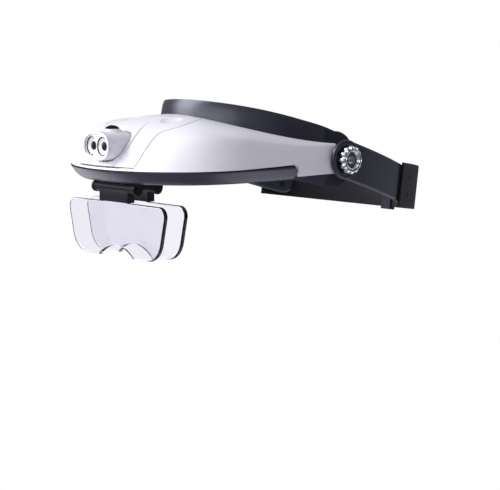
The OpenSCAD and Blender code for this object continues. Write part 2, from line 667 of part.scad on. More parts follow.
// An oval plate from y0 forward by t, its outline drawn in by w from the lamp's
module oval_plate(y0, t, w) {
    ring_solid([oval(lamp_half_w - w, lamp_half_h - w, y0 - t), oval(lamp_half_w - w, lamp_half_h - w, y0)]);
}
bezel_t = 1.4;
bezel_w = lamp_t + 0.3;
module lamp_bezel() {
    color("#e9eaec") difference() {
        oval_plate(lamp_face - fit, bezel_t, -0.1);
        oval_plate(lamp_face + 1, bezel_t + 3, bezel_w);
    }
}
window_t = 1;
inside_w = lamp_t + 0.15;
module lamp_window() {
    color("#dfe8ee", 0.35) oval_plate(lamp_face - bezel_t + 0.2 + window_t, window_t, bezel_w + fit);
}
reflector_front = lamp_face;
reflector_l = 6.6;
module lamp_reflector() {
    dish_r = led_pitch / 2 - 0.15;
    color("#cfd2d6") difference() {
        oval_plate(reflector_front + reflector_l, reflector_l, inside_w);
        for (side = [-1, 1]) translate([side * led_pitch / 2, reflector_front - 0.01, lamp_z]) rotate([-90, 0, 0]) {
            cylinder(r1 = dish_r, r2 = led_d / 2 + 0.3, h = reflector_l - 1);
            cylinder(r = led_d / 2 + 0.15, h = reflector_l + 1);
        }
    }
}
led_back = reflector_front + reflector_l + fit;
flange_l = 1;
led_l = reflector_l - led_d / 2;
module lamp_leds() {
    color("#e6ead8") for (side = [-1, 1]) translate([side * led_pitch / 2, led_back, lamp_z]) {
        rotate([-90, 0, 0]) cylinder(r = led_d / 2 + 0.4, h = flange_l);
        rotate([90, 0, 0]) cylinder(r = led_d / 2, h = led_l);
        translate([0, -led_l, 0]) sphere(r = led_d / 2, $fn = 40);
    }
}
board_y = led_back + flange_l + fit;
board_t = 1.6;
shelf_z = lamp_z - 1.4;
module circuit_board() {
    color("#1f6b3a") {
        block([-10, board_y, lamp_z - 6.4], [10, board_y + board_t, lamp_z + 4.6]);
        block([-8, board_y + board_t - 0.01, shelf_z - board_t], [8, -lamp_pin_y + 2, shelf_z]);
    }
}
switch_top = button_z - 5.8 - button_travel;
module tact_switch() {
    color("#4a4b52") {
        block([-2.3, -button_y - 2.3, shelf_z + fit], [2.3, -button_y + 2.3, switch_top - 0.8]);
        translate([0, -button_y, switch_top - 0.81]) cylinder(r = 1.2, h = 0.81);
    }
}
flange_z = button_z - lamp_t - 0.7;
module power_button() {
    dome_h = 1.8;
    dome_base = button_z + collar_h - 0.2 + button_travel;
    dome_r = (button_r ^ 2 + dome_h ^ 2) / (2 * dome_h);
    color("#141518") translate([0, -button_y, 0]) {
        translate([0, 0, flange_z]) cylinder(r = button_r, h = dome_base - flange_z);
        translate([0, 0, flange_z - 0.8]) cylinder(r = button_r + 0.7, h = 0.9);
        translate([0, 0, switch_top + button_travel + move_gap])
            cylinder(r = 1.3, h = flange_z - switch_top - button_travel - move_gap);
        intersection() {
            translate([0, 0, dome_base + dome_h - dome_r]) sphere(r = dome_r);
            translate([0, 0, dome_base - 0.01]) cylinder(r = button_r + 1, h = dome_h + 1);
        }
    }
}
module button_spring() {
    coil_r = 3.75;
    wire_r = 0.25;
    low = shelf_z + fit + wire_r;
    high = flange_z - 0.8 - fit - wire_r - button_travel;
    color("#c9cbd0") translate([0, -button_y, low]) coil(coil_r, coil_r, high - low, 4, wire_r);
}

// Lens clips and plates: both pairs are alike, each about its own hinge
barrel_r = 3.8;
slot_gap = 0.1;
barrel_half = cheek_x - cheek_t / 2 - move_gap;
clip_t = plate_t + 2 * slot_gap + 2.4;
clip_h = 10;
tongue_half = clip_half_w - 3;
module clip(y) {
    translate([0, -y, -hinge_z]) difference() {
        union() {
            rod_x(-barrel_half, barrel_half, barrel_r);
            block([-clip_half_w, -clip_t / 2, -clip_h], [clip_half_w, clip_t / 2, 0]);
        }
        rod_x(-barrel_half - 1, barrel_half + 1, pin_d / 2 + fit);
        block([-tongue_half - slot_gap, -plate_t / 2 - slot_gap, -clip_h - 1],
              [tongue_half + slot_gap, plate_t / 2 + slot_gap, -barrel_r - 0.2]);
    }
}
// Points where the line along the right side of two circles, c1 below c2, touches them
function side_line(c1, r1, c2, r2) = let (d = c2 - c1, a = atan2(d[1], d[0]) - acos((r1 - r2) / norm(d)))
    [c1 + r1 * [cos(a), sin(a)], c2 + r2 * [cos(a), sin(a)]];
module lens_plate(y) {
    top = -hinge_z - clip_h - 0.4;
    low = top - plate_h;
    upper = [plate_half_w - top_corner, top - top_corner];
    lower = [plate_half_w - plate_taper - plate_corner, low + plate_corner];
    side = side_line(lower, plate_corner, upper, top_corner);
    half = [[lower[0], low], side[0], side[1], [upper[0], top]];
    translate([0, -y + plate_t / 2, 0]) rotate([90, 0, 0]) linear_extrude(plate_t) difference() {
        union() {
            for (x = [-1, 1]) {
                translate([x * lower[0], lower[1]]) circle(r = plate_corner);
                translate([x * upper[0], upper[1]]) circle(r = top_corner);
            }
            polygon(concat(half, [for (i = [3:-1:0]) [-half[i][0], half[i][1]]]));
            translate([-tongue_half, top - 1]) square([2 * tongue_half, clip_h - barrel_r + 1]);
        }
        translate([0, low + arch_h - nose_r]) circle(r = nose_r);
    }
}
module front_clip() { color("#17181c") clip(front_hinge_y); }
module rear_clip() { color("#17181c") clip(rear_hinge_y); }
module front_lens_plate() { color("#dfe9f2", 0.4) lens_plate(front_hinge_y); }
module rear_lens_plate() { color("#dfe9f2", 0.4) lens_plate(rear_hinge_y); }

// A fluted clamp knob with a dished face
module knob() {
    flute_r = PI * knob_r / knob_flutes * 0.62;
    core_r = knob_r - flute_r;
    color("#e8ebef") difference() {
        translate([knob_x, 0, 0]) rotate([0, 90, 0]) {
            linear_extrude(knob_t - 1) union() {
                circle(r = core_r + flute_r * 0.5);
                for (i = [0:knob_flutes - 1]) rotate(360 * (i + 0.5) / knob_flutes)
                    translate([core_r, 0]) circle(r = flute_r, $fn = 24);
            }
            translate([0, 0, knob_t - 1.01]) cylinder(r1 = core_r + flute_r * 0.4, r2 = core_r - 0.6, h = 1);
        }
        rod_x(knob_x - 1, knob_x + knob_t + 1, stud_d / 2 + fit);
        rod_x(knob_x + knob_t - knob_recess, knob_x + knob_t + 1, knob_r * 0.62);
    }
}
module left_knob() { knob(); }
module right_knob() { mirror([1, 0, 0]) knob(); }

// Rear strap and tabs, drawn in the strap's frame and then turned down about the pivots
strap_x = tab_x + tab_t / 2;
function strap_angle(v) = asin(v / strap_reach);
// A point beside the strap's path at angle a, off it by d, at height w
function strap_point(a, d, w) = let (n = unit([cos(a) / strap_x, sin(a) / strap_reach]))
    [strap_x * cos(a) + d * n[0], strap_reach * sin(a) + d * n[1], w];
strap_off = tab_t / 2 + set_gap + strap_t / 2;
strap_low = strap_top - strap_w;
module turned_down() { rotate([-strap_fall, 0, 0]) children(); }
rivet_v = 86;
rivet_w = 7;
rivet_r = 1.3;
module at_rivets() {
    a = strap_angle(rivet_v);
    for (w = [-rivet_w, rivet_w]) translate(strap_point(a, 0, w - rivet_v * sin(tab_turn)))
        rotate([0, 0, atan2(sin(a) / strap_reach, cos(a) / strap_x)]) rotate([0, 90, 0]) children();
}
module strap_tab() {
    steps = 14;
    rows = function (d) [for (i = [0:steps]) let (v = tab_l * i / steps,
            half = tab_w / 2 - (i == steps ? 4 : i == steps - 1 ? 0.8 : 0))
        [for (w = [-half, -half + 1, half - 1, half])
            strap_point(strap_angle(v * cos(tab_turn) + w * sin(tab_turn)), abs(w) > half - 0.5 ? d * 0.7 : d,
                        w * cos(tab_turn) - v * sin(tab_turn))]];
    color("#2b2d38") turned_down() difference() {
        union() {
            sheet_solid(rows(-tab_t / 2), rows(tab_t / 2));
            rod_x(tab_x, tab_x + tab_t, tab_r);
        }
        rod_x(tab_x - 1, tab_x + tab_t + 1, stud_d / 2 + fit);
        at_rivets() cylinder(r = rivet_r + fit, h = 12, center = true);
    }
}
module left_strap_tab() { strap_tab(); }
module right_strap_tab() { mirror([1, 0, 0]) strap_tab(); }
module rear_strap() {
    steps = 44;
    a0 = strap_angle(strap_start);
    across = [0, 0.06, 0.5, 0.94, 1];
    bulge = [0.5, 1, 1.1, 1, 0.5];
    rows = function (side) [for (i = [0:steps]) let (a = mix(a0, 180 - a0, i / steps))
        [for (k = [0:4]) let (p = strap_point(min(a, 180 - a),
                strap_off + side * bulge[k] * strap_t / 2, strap_low + strap_w * across[k]))
            a <= 90 ? p : flip_x(p)]];
    color("#26272d") turned_down() difference() {
        sheet_solid(rows(-0.95), rows(1));
        left_and_right() at_rivets() cylinder(r = rivet_r + fit, h = 24, center = true);
    }
}
module strap_rivets() {
    head_r = 2.6;
    head_t = 1;
    inner = tab_t / 2 + set_gap + fit;
    outer = strap_off + 0.55 * strap_t + set_gap;
    color("#26272d") turned_down() left_and_right() at_rivets() {
        translate([0, 0, -inner]) cylinder(r = rivet_r, h = inner + outer);
        translate([0, 0, outer - 0.01]) cylinder(r1 = head_r, r2 = head_r - 0.8, h = head_t);
        translate([0, 0, -inner - head_t + 0.01]) cylinder(r2 = head_r, r1 = head_r - 0.8, h = head_t);
    }
}
module strap_keeper() {
    keeper_l = 10;
    keeper_t = 1.6;
    room = 0.5;
    mid = strap_reach + strap_off;
    inner = [keeper_l + 2, strap_t * 1.1 + 2 * room, strap_w + 2 * room];
    color("#2b2d33") turned_down() translate([0, mid, strap_low + strap_w / 2]) difference() {
        cube([keeper_l, inner[1] + 2 * keeper_t, inner[2] + 2 * keeper_t], center = true);
        cube(inner, center = true);
    }
}

forehead_band();
brow_pad();
pivot_studs();
friction_washers();
visor_shell();
centre_panel();
visor_rim();
battery_tray();
battery_cells();
contact_plates();
contact_springs();
battery_door();
lens_bracket();
hinge_pins();
bracket_screws();
tray_screws();
lamp_lead();
lamp_housing();
lamp_bezel();
lamp_reflector();
lamp_leds();
lamp_window();
circuit_board();
tact_switch();
lamp_pins();
power_button();
button_spring();
front_clip();
front_lens_plate();
rear_clip();
rear_lens_plate();
left_knob();
right_knob();
left_strap_tab();
right_strap_tab();
rear_strap();
strap_rivets();
strap_keeper();
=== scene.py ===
import math

import bmesh
import bpy
import numpy as np
from mathutils import Matrix, Vector


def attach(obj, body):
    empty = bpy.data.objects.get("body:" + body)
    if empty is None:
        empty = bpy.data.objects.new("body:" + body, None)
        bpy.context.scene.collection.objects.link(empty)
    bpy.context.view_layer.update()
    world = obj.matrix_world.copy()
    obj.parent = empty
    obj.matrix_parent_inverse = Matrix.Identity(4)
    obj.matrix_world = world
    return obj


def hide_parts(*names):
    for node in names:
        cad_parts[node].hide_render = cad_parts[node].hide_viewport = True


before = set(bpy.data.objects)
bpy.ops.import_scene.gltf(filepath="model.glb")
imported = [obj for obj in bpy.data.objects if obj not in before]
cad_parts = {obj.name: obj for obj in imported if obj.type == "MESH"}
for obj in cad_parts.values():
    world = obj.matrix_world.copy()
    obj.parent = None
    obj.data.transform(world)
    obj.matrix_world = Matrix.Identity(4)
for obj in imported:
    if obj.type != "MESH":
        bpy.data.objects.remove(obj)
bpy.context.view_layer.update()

# Sizes in millimetres, as in the part's source. A mesh is scaled to metres when it is made.
# The origin lies between the temple pivots, and -Y is the wearer's front.
MM = 0.001

# Gaps: between fixed pieces, between moving pieces, and round a pin in its bore
SET_GAP = 0.1
MOVE_GAP = 0.3
FIT = 0.05

# Forehead band: half width and depth of its plan, heights of its edges at the brow, lean of its top
BAND_HALF_W = 77.5
BROW_Y = 90.0
WIDEST_Y = 20.0
BAND_T = 2.4
BAND_TOP_Z = 44.0
BAND_LOW_Z = 4.0
BAND_TOP_BOW = 0.41
BAND_LOW_POWER = 1.4
BAND_LEAN = 5.0
LOBE_R = 20.5
LOBE_INSET = 0.9
LOBE_X = BAND_HALF_W - LOBE_INSET
LOBE_FRONT_Y = -6.0
BAND_START_Y = -30.0

# Foam pad: PAD_END is the ring angle of its ends
PAD_T = 6.0
PAD_PINCHED_T = 1.6
PAD_CELLS = 6
PAD_END = 38.0
PAD_INSET = 4.0

# Visor: plan of its lower edge, heights of its inner edge, wall, and the fall of its lower edge to the front
VISOR_HALF_W = 90.0
VISOR_FRONT_Y = 92.0
VISOR_REACH = 67.0
SIDE_Y0 = -6.0
ARM_U = 28.0
ARM_BEND_Y = -14.0
ARM_BEND_L = 36.0
EDGE_TEMPLE_Z = 11.5
EDGE_BROW_Z = 33.2
EDGE_EARLY_RISE = 0.24
BAND_GAP = 2.5
SIDE_GAP = 4.5
SHELL_T = 2.2
SHELL_INSET = 0.6
VISOR_FALL = 0.027
RIM_DEPTH = 10.5
RIM_DRAW = 8.4
RIM_END_DRAW = 3.0
RIM_FALL = 0.022
RIM_END_LIFT = 1.2
RIM_T = 2.6
RIM_END_Y = 50.0
RIM_LAP = 0.4
CORNER_R = 3.4
CORNER_U = 1.1

# Shares of the visor's rise, up its sides and up its front
SIDE_PROFILE = [[0, 0], [0.06, 0.22], [0.12, 0.42], [0.18, 0.61], [0.24, 0.75], [0.32, 0.83],
                [0.45, 0.92], [0.62, 0.975], [0.8, 1], [1, 1]]
FRONT_PROFILE = [[0, 0], [0.06, 0.19], [0.12, 0.355], [0.18, 0.49], [0.24, 0.6], [0.32, 0.715],
                 [0.45, 0.83], [0.62, 0.92], [0.8, 0.98], [1, 1]]
SIDE_END_U = 50.0
FRONT_START_U = 75.0

# Centre panel: angles of its seam and of the fold beside it, as (s, u), and the two round dimples
SEAM_TABLE = [[0, 75.5], [0.02, 75.1], [0.064, 74], [0.128, 73], [0.224, 71.8], [0.316, 70.4], [0.378, 67],
              [0.446, 62.6], [0.55, 60.6], [0.654, 59.4], [1, 58.7]]
FOLD_TABLE = [[0, 85], [0.024, 84.2], [0.096, 82.3], [0.17, 81.2], [0.3, 80.9], [0.526, 82.5], [1, 86]]
SEAM_SHARE = 0.019
FOLD_DEPTH = 0.9
FOLD_W = 0.34
FOLD_TOP_S = 0.6
FIELD_PROUD = 0.3
DIMPLE_U = 73.6
DIMPLE_S = 0.67
DIMPLE_R = 8.0
DIMPLE_DEPTH = 1.5
PANEL_LOW_S = 0.012
PANEL_TOP_S = 0.96

# Temple pivots, outwards from the band's lobe: washer, arm, tab and knob
STUD_D = 5.0
STUD_HOLE_R = STUD_D / 2 + FIT
WASHER_T = 1.5
ARM_BOSS_L = 8.4
ARM_R = 11.5
ARM_NECK_R = ARM_R - 4
ARM_BOSS_X = LOBE_X + WASHER_T + 2 * FIT
ARM_X = ARM_BOSS_X + ARM_BOSS_L
TAB_R = 14.5
TAB_W = 28.0
TAB_T = 3.0
TAB_L = 96.0
TAB_END_L = 8.0
TAB_CORNER = 5.0
TAB_TURN = 9.5
TAB_GAP = 0.75
TAB_X = ARM_X + TAB_GAP
KNOB_R = 10.6
KNOB_T = 6.0
KNOB_LOBES = 12
KNOB_LOBE_DEPTH = 1.5
KNOB_RECESS = 2.0
KNOB_RECESS_R = KNOB_R * 0.62
KNOB_X = TAB_X + TAB_T + MOVE_GAP

# Rear strap
STRAP_START = 71.0
STRAP_REACH = 142.0
STRAP_W = 35.0
STRAP_T = 2.0
STRAP_EDGE_R = 0.7
STRAP_TOP = 4.0
STRAP_FALL = 8.0
STRAP_X = TAB_X + TAB_T / 2
STRAP_OFF = TAB_T / 2 + SET_GAP + STRAP_T / 2
RIVET_V = 86.0
RIVET_W = 7.0
RIVET_R = 1.3
RIVET_HEAD_R = 2.3
RIVET_HEAD_T = 0.5

# Lamp
LAMP_HALF_W = 15.5
LAMP_HALF_H = 10.2
LAMP_Z = 12.4
LAMP_L = 19.5
LAMP_T = 1.6
LAMP_TAPER = 0.4
LAMP_STRAIGHT_L = 6.0
LAMP_TAIL_DRAW = 4.0
LAMP_PIN_Y = 141.5
LAMP_PIN_HOLE_R = 1.55
LAMP_FACE = -LAMP_PIN_Y - LAMP_L
LAMP_GAP = 0.6
LAMP_UP = 8.0
LAMP_DOWN = 3.0
LAMP_HOLE_BACK = -139.2
OVAL_POWER = 0.77
LED_D = 5.0
LED_PITCH = 12.8
LED_X = (-LED_PITCH / 2, LED_PITCH / 2)
DISH_R = 6.3
DISH_TALL = 1.08
DISH_DEPTH = 1.9
REFLECTOR_L = 6.6
BEZEL_T = 1.4
BEZEL_W = 1.9
BUTTON_R = 4.9
BUTTON_Y = 147.4
COLLAR_R = BUTTON_R + 1.2
COLLAR_H = 1.7
EAR_U = 80.2
EAR_T = 2.4
EAR_R = 3.3

# Lens plates and what holds them. A screw boss under the panel has its place on the skin as (u, s).
HINGE_Z = 18.2
FRONT_HINGE_Y = 144.0
HINGE_PITCH = 18.0
LUG_R = 4.2
CLIP_H = 10.0
BARREL_R = 3.8
TONGUE_HALF = 14.0
TONGUE_CORNER = 0.8
PLATE_HALF_W = 57.5
PLATE_H = 39.6
PLATE_T = 3.6
PLATE_DROP = 0.4
PLATE_TOP_Z = -HINGE_Z - CLIP_H - PLATE_DROP
PLATE_CORNER = 17.0
TOP_CORNER = 7.0
PLATE_TAPER = 4.0
NOSE_R = 30.0
NOSE_CORNER = 0.9
ARCH_H = 8.0
SCREW_R = 1.05
SCREW_HOLE_R = SCREW_R + FIT
BOSS_R = 2.8
BOSS_SINK = 1.7
BRACKET_BOSS = (79, 0.3)
BRACKET_RISE = 2.7
BRACKET_TOP_Z = -HINGE_Z + LUG_R + BRACKET_RISE
TRAY_BOSS = (64, 0.62)
TRAY_FLANGE_Z = 18.0

# Angle between faces, in degrees, from which an edge is sharp
SHARP = 35


# Small help with numbers

def lerp(a, b, t):
    return a * (1 - t) + b * t


def ease(t):
    t = np.clip(t, 0, 1)
    return t * t * (3 - 2 * t)


def unit(v):
    return v / np.linalg.norm(v, axis=-1, keepdims=True)


def flowing(x, table):
    """A smooth curve through a table of (x, y), with no overshoot between its points."""
    xs, ys = np.array(table, float).T
    h, d = np.diff(xs), np.diff(ys) / np.diff(xs)
    m = np.zeros(len(xs))
    same = d[:-1] * d[1:] > 0
    w1, w2 = 2 * h[1:] + h[:-1], h[1:] + 2 * h[:-1]
    before, after = np.where(same, d[:-1], 1), np.where(same, d[1:], 1)
    m[1:-1][same] = (w1 + w2)[same] / (w1 / before + w2 / after)[same]
    m[0], m[-1] = d[0], d[-1]
    x = np.clip(np.asarray(x, float), xs[0], xs[-1])
    k = np.clip(np.searchsorted(xs, x) - 1, 0, len(h) - 1)
    t = (x - xs[k]) / h[k]
    return ((1 + 2 * t) * (1 - t) ** 2 * ys[k] + t * (1 - t) ** 2 * h[k] * m[k]
            + t * t * (3 - 2 * t) * ys[k + 1] + t * t * (t - 1) * h[k] * m[k + 1])


def points3(*columns):
    return np.stack(np.broadcast_arrays(*[np.asarray(c, float) for c in columns]), -1)


def round_angles(n):
    return np.arange(n) * 2 * np.pi / n


def squared(c, power):
    """A sine or cosine drawn towards 1 and -1, which squares up a round shape."""
    return np.sign(c) * np.abs(c) ** power


# Meshes: each maker returns points and faces, and piece() joins them into one object

def wall_between(outer, inner, hole=None):
    """A wall between two grids of points, closed round its edges and round a hole.

    The hole is given as its first and last column, then its first and last row.
    """
    ni, nj = outer.shape[:2]
    o = ni * nj
    kept = np.ones((ni - 1, nj - 1), bool)
    if hole:
        kept[hole[0]:hole[1], hole[2]:hole[3]] = False
    faces = []
    for i, j in zip(*np.nonzero(kept)):
        a, b, c, d = i * nj + j, (i + 1) * nj + j, (i + 1) * nj + j + 1, i * nj + j + 1
        faces += [(a, b, c, d), (o + a, o + d, o + c, o + b)]
        for p, q, x, y in ((a, b, i, j - 1), (b, c, i + 1, j), (c, d, i, j + 1), (d, a, i - 1, j)):
            if not (0 <= x < ni - 1 and 0 <= y < nj - 1 and kept[x, y]):
                faces.append((q, p, o + p, o + q))
    return np.concatenate([outer.reshape(-1, 3), inner.reshape(-1, 3)]), faces


def loft(rings, loop=False):
    """A closed solid through rings of as many points each. With loop, the last ring joins the first."""
    rings = np.asarray(rings, float)
    n, m = rings.shape[:2]
    faces = [(i * m + j, i * m + (j + 1) % m, (i + 1) % n * m + (j + 1) % m, (i + 1) % n * m + j)
             for i in range(n if loop else n - 1) for j in range(m)]
    if not loop:
        faces += [tuple(range(m)), tuple(range(n * m - 1, (n - 1) * m - 1, -1))]
    return rings.reshape(-1, 3), faces


def turned(profile, centre, axis, steps=72, loop=False):
    """A turned shape: profile holds (radius, place along the axis) and centre is a point on the axis."""
    a = round_angles(steps)
    order = {"X": (2, 0, 1), "Y": (1, 2, 0), "Z": (0, 1, 2)}[axis]
    rings = []
    for r, along in profile:
        r = max(r, 1e-4)
        rings.append(points3(r * np.cos(a), r * np.sin(a), along)[:, order] + np.array(centre, float))
    return loft(rings, loop)


def block(low, high):
    x, y, z = zip(low, high)
    corners = [(x[i], y[j], z[k]) for k in (0, 1) for i, j in ((0, 0), (1, 0), (1, 1), (0, 1))]
    return loft([corners[:4], corners[4:]])


def mirrored(part):
    points, faces = part
    return points * [-1, 1, 1], faces


def both_sides(part):
    return [part, mirrored(part)]


def object_from(name, mesh):
    obj = bpy.data.objects.new(name, mesh)
    bpy.context.scene.collection.objects.link(obj)
    return obj


def plain_mesh(obj):
    """A new mesh of the object as its modifiers make it."""
    graph = bpy.context.evaluated_depsgraph_get()
    return bpy.data.meshes.new_from_object(obj.evaluated_get(graph))


def ease_edges(obj, width, angle=SHARP, segments=2):
    mod = obj.modifiers.new("eased edges", "BEVEL")
    mod.width = width * MM
    mod.segments = segments
    mod.limit_method = "ANGLE"
    mod.angle_limit = math.radians(angle)
    mod.harden_normals = True


def piece(name, parts, material, bevel=0.0, angle=SHARP, segments=2):
    """One object at the origin, with its place in its mesh, its doubles merged and its faces outwards."""
    bm = bmesh.new()
    for points, faces in parts:
        verts = [bm.verts.new(p * MM) for p in points]
        for f in faces:
            try:
                bm.faces.new([verts[k] for k in f])
            except ValueError:
                continue
    bmesh.ops.remove_doubles(bm, verts=bm.verts, dist=2e-6)
    bmesh.ops.dissolve_degenerate(bm, edges=bm.edges, dist=1e-7)
    bmesh.ops.recalc_face_normals(bm, faces=bm.faces)
    mesh = bpy.data.meshes.new(name)
    bm.to_mesh(mesh)
    bm.free()
    mesh.materials.append(material)
    mesh.shade_smooth()
    obj = object_from(name, mesh)
    if bevel:
        ease_edges(obj, bevel, angle, segments)
    return obj


def cut(obj, parts):
    """Takes closed parts out of obj, whose mesh may cross itself before the first cut."""
    for k, part in enumerate(parts):
        tool = piece("cutter", [part], obj.data.materials[0])
        mod = obj.modifiers.new("cut", "BOOLEAN")
        mod.object, mod.operation, mod.solver, mod.use_self = tool, "DIFFERENCE", "EXACT", k == 0
        uncut, obj.data = obj.data, plain_mesh(obj)
        obj.modifiers.clear()
        bpy.data.meshes.remove(uncut)
        bpy.data.objects.remove(tool)
    obj.data.set_sharp_from_angle(angle=math.radians(SHARP))


def copy_of(node, name, material, bevel):
    """A CAD node's shape with its doubles merged, its flat faces joined and its edges eased."""
    bm = bmesh.new()
    bm.from_mesh(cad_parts[node].data)
    bmesh.ops.remove_doubles(bm, verts=bm.verts, dist=2e-6)
    bmesh.ops.dissolve_limit(bm, angle_limit=math.radians(1), verts=bm.verts, edges=bm.edges)
    mesh = bpy.data.meshes.new(name)
    bm.to_mesh(mesh)
    bm.free()
    mesh.materials.clear()
    mesh.materials.append(material)
    mesh.polygons.foreach_set("material_index", [0] * len(mesh.polygons))
    mesh.shade_smooth()
    mesh.set_sharp_from_angle(angle=math.radians(SHARP))
    obj = object_from(name, mesh)
    ease_edges(obj, bevel)
    return obj


def fitted(obj, body, slot, *nodes):
    """Rides on a body and stands for CAD nodes, which it hides. The slot is not used."""
    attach(obj, body)
    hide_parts(*nodes)
    return obj


# Nodes, for finishes, for Geometry Nodes and for the studio

def feed(tree, socket, value):
    """Joins a socket to another node's output, or sets it to a value."""
    if isinstance(value, bpy.types.NodeSocket):
        tree.links.new(value, socket)
    else:
        socket.default_value = value


def add(tree, kind, **inputs):
    """A node with its inputs set to values or joined to other nodes' outputs."""
    node = tree.nodes.new(kind)
    for label, value in inputs.items():
        feed(tree, node.inputs[label.replace("_", " ")], value)
    return node


def reckon(tree, operation, a, b):
    """What an arithmetic operation makes of two values or outputs."""
    node = tree.nodes.new("ShaderNodeMath")
    node.operation = operation
    feed(tree, node.inputs[0], a)
    feed(tree, node.inputs[1], b)
    return node.outputs[0]


# Finishes

WHITE = (1, 1, 1, 1)
BLUISH = (0.8, 0.86, 1.0, 1)


def surface(name, colour, roughness, **sockets):
    """A material with plain values on its shader. Returns it with its tree and its shader."""
    mat = bpy.data.materials.new(name)
    mat.use_nodes = True
    shader = mat.node_tree.nodes["Principled BSDF"]
    for label, value in {"Base_Color": (*colour, 1), "Roughness": roughness, **sockets}.items():
        shader.inputs[label.replace("_", " ")].default_value = value
    return mat, mat.node_tree, shader


def on_piece(tree):
    return add(tree, "ShaderNodeTexCoord").outputs["Object"]


def speckle(tree, scale, detail=3.0, place=None):
    """Soft noise over the piece, mostly between 0.3 and 0.7."""
    noise = add(tree, "ShaderNodeTexNoise", Scale=scale, Detail=detail, Roughness=0.55,
                Vector=place or on_piece(tree))
    return noise.outputs["Fac"]


def spread(tree, value, low, high, from_low=0.3, from_high=0.7):
    """The value's range stretched to run from low to high."""
    node = add(tree, "ShaderNodeMapRange", Value=value, From_Min=from_low, From_Max=from_high,
               To_Min=low, To_Max=high)
    return node.outputs["Result"]


def paint(tree, shader, value, stops):
    """Colours the piece by a value, from stops of (value, colour)."""
    ramp = add(tree, "ShaderNodeValToRGB", Fac=value)
    elements = ramp.color_ramp.elements
    while len(elements) < len(stops):
        elements.new(0.5)
    for element, (at, colour) in zip(elements, stops):
        element.position, element.color = at, (*colour, 1)
    tree.links.new(ramp.outputs["Color"], shader.inputs["Base Color"])


def tones(tree, shader, value, colour, *stops):
    """Colours the piece by a value, from stops of (value, share of the colour)."""
    paint(tree, shader, value, [(at, tuple(min(1.0, c * share) for c in colour)) for at, share in stops])


def roughen(tree, shader, value, low, high, *limits):
    tree.links.new(spread(tree, value, low, high, *limits), shader.inputs["Roughness"])


def relief(tree, shader, height, strength, depth):
    bump = add(tree, "ShaderNodeBump", Strength=strength, Distance=depth * MM, Height=height)
    tree.links.new(bump.outputs["Normal"], shader.inputs["Normal"])


def moulded(name, colour, roughness, vary=0.06, grain=900.0, depth=0.02, coat=0.0, wave=40.0, gloss=0.5):
    """Moulded plastic: a slight drift of tone and of roughness, and a fine grain where it has a depth.

    Above the common gloss of 0.5, the shine is bluish.
    """
    mat, tree, shader = surface(name, colour, roughness, Coat_Weight=coat, Coat_Roughness=0.1,
                                Specular_IOR_Level=gloss, Specular_Tint=BLUISH if gloss > 0.5 else WHITE)
    tones(tree, shader, speckle(tree, wave, 4), colour, (0.3, 1 - vary), (0.7, 1 + vary))
    swing = 1.2 * vary
    roughen(tree, shader, speckle(tree, wave * 3), roughness * (1 - swing), roughness * (1 + swing))
    if depth:
        relief(tree, shader, speckle(tree, grain, 2), 0.35, depth)
    return mat


def metal(name, colour, roughness, streak=(400, 400, 400)):
    """Bare or plated metal with faint marks along the way it was worked."""
    mat, tree, shader = surface(name, colour, roughness, Metallic=1.0)
    stretched = add(tree, "ShaderNodeMapping", Vector=on_piece(tree), Scale=streak)
    marks = speckle(tree, 1.0, 4, stretched.outputs["Vector"])
    tones(tree, shader, marks, colour, (0.3, 0.9), (0.7, 1.05))
    roughen(tree, shader, marks, roughness * 0.7, roughness * 1.4)
    relief(tree, shader, marks, 0.2, 0.01)
    return mat


def clear(name, colour, roughness, alpha, transmission):
    """Clear plastic with faint hairlines and a trace of tint."""
    mat, tree, shader = surface(name, colour, roughness, IOR=1.49, Alpha=alpha,
                                Transmission_Weight=transmission)
    haze = speckle(tree, 60, 5)
    roughen(tree, shader, haze, roughness * 0.5, roughness * 2, 0.4, 0.7)
    tones(tree, shader, haze, colour, (0.3, 1), (0.7, 0.97))
    relief(tree, shader, speckle(tree, 25, 1), 0.05, 0.02)
    return mat


def dish_coat_with_painted_shade(name, colour):
    """Bright coat with a painted shade line just inside each dish's edge and a painted reflection of the
    diode, dark, at its bottom.
    """
    mat, tree, shader = surface(name, colour, 0.32, Metallic=0.25)
    # Colour of the painted shade at the dish's edge and of the painted reflection of the diode
    line = (0.012, 0.012, 0.03)
    parts = add(tree, "ShaderNodeSeparateXYZ", Vector=on_piece(tree))
    depth = spread(tree, parts.outputs["Y"], 0.0, 1.0, (LAMP_FACE - 0.1) * MM, (LAMP_FACE + DISH_DEPTH) * MM)
    # Painted shade: a dark band just inside each dish's edge. Painted reflection: the diode's dark image at
    # the dish's bottom and down its tube.
    paint(tree, shader, depth, [(0.055, colour), (0.07, line), (0.375, line), (0.425, colour),
                                (0.955, colour), (0.975, line)])
    roughen(tree, shader, speckle(tree, 500, 3), 0.25, 0.4)
    return mat


def foam(name, colour):
    """Foam under a thin knitted skin: small open cells, soft sheen."""
    mat, tree, shader = surface(name, colour, 0.9, Sheen_Weight=0.35)
    cells = add(tree, "ShaderNodeTexVoronoi", Scale=1300, Vector=on_piece(tree)).outputs["Distance"]
    tones(tree, shader, cells, colour, (0.1, 1.25), (0.6, 0.6))
    relief(tree, shader, cells, 0.6, 0.12)
    return mat


def webbing(name, colour):
    """Woven elastic: ribs along the strap crossed by fine threads, drawn on the strap's own map."""
    mat, tree, shader = surface(name, colour, 0.82, Sheen_Weight=0.05)
    chart = add(tree, "ShaderNodeAttribute")
    chart.attribute_name = "weave"
    threads = []
    for way, scale in (("X", 330.0), ("Y", 520.0)):
        wave = add(tree, "ShaderNodeTexWave", Scale=scale, Distortion=0.6, Vector=chart.outputs["Vector"])
        wave.bands_direction = way
        threads.append(wave.outputs["Fac"])
    woven = reckon(tree, "MULTIPLY", *threads)
    tones(tree, shader, woven, colour, (0.0, 0.6), (0.8, 1.5))
    relief(tree, shader, woven, 0.7, 0.15)
    return mat


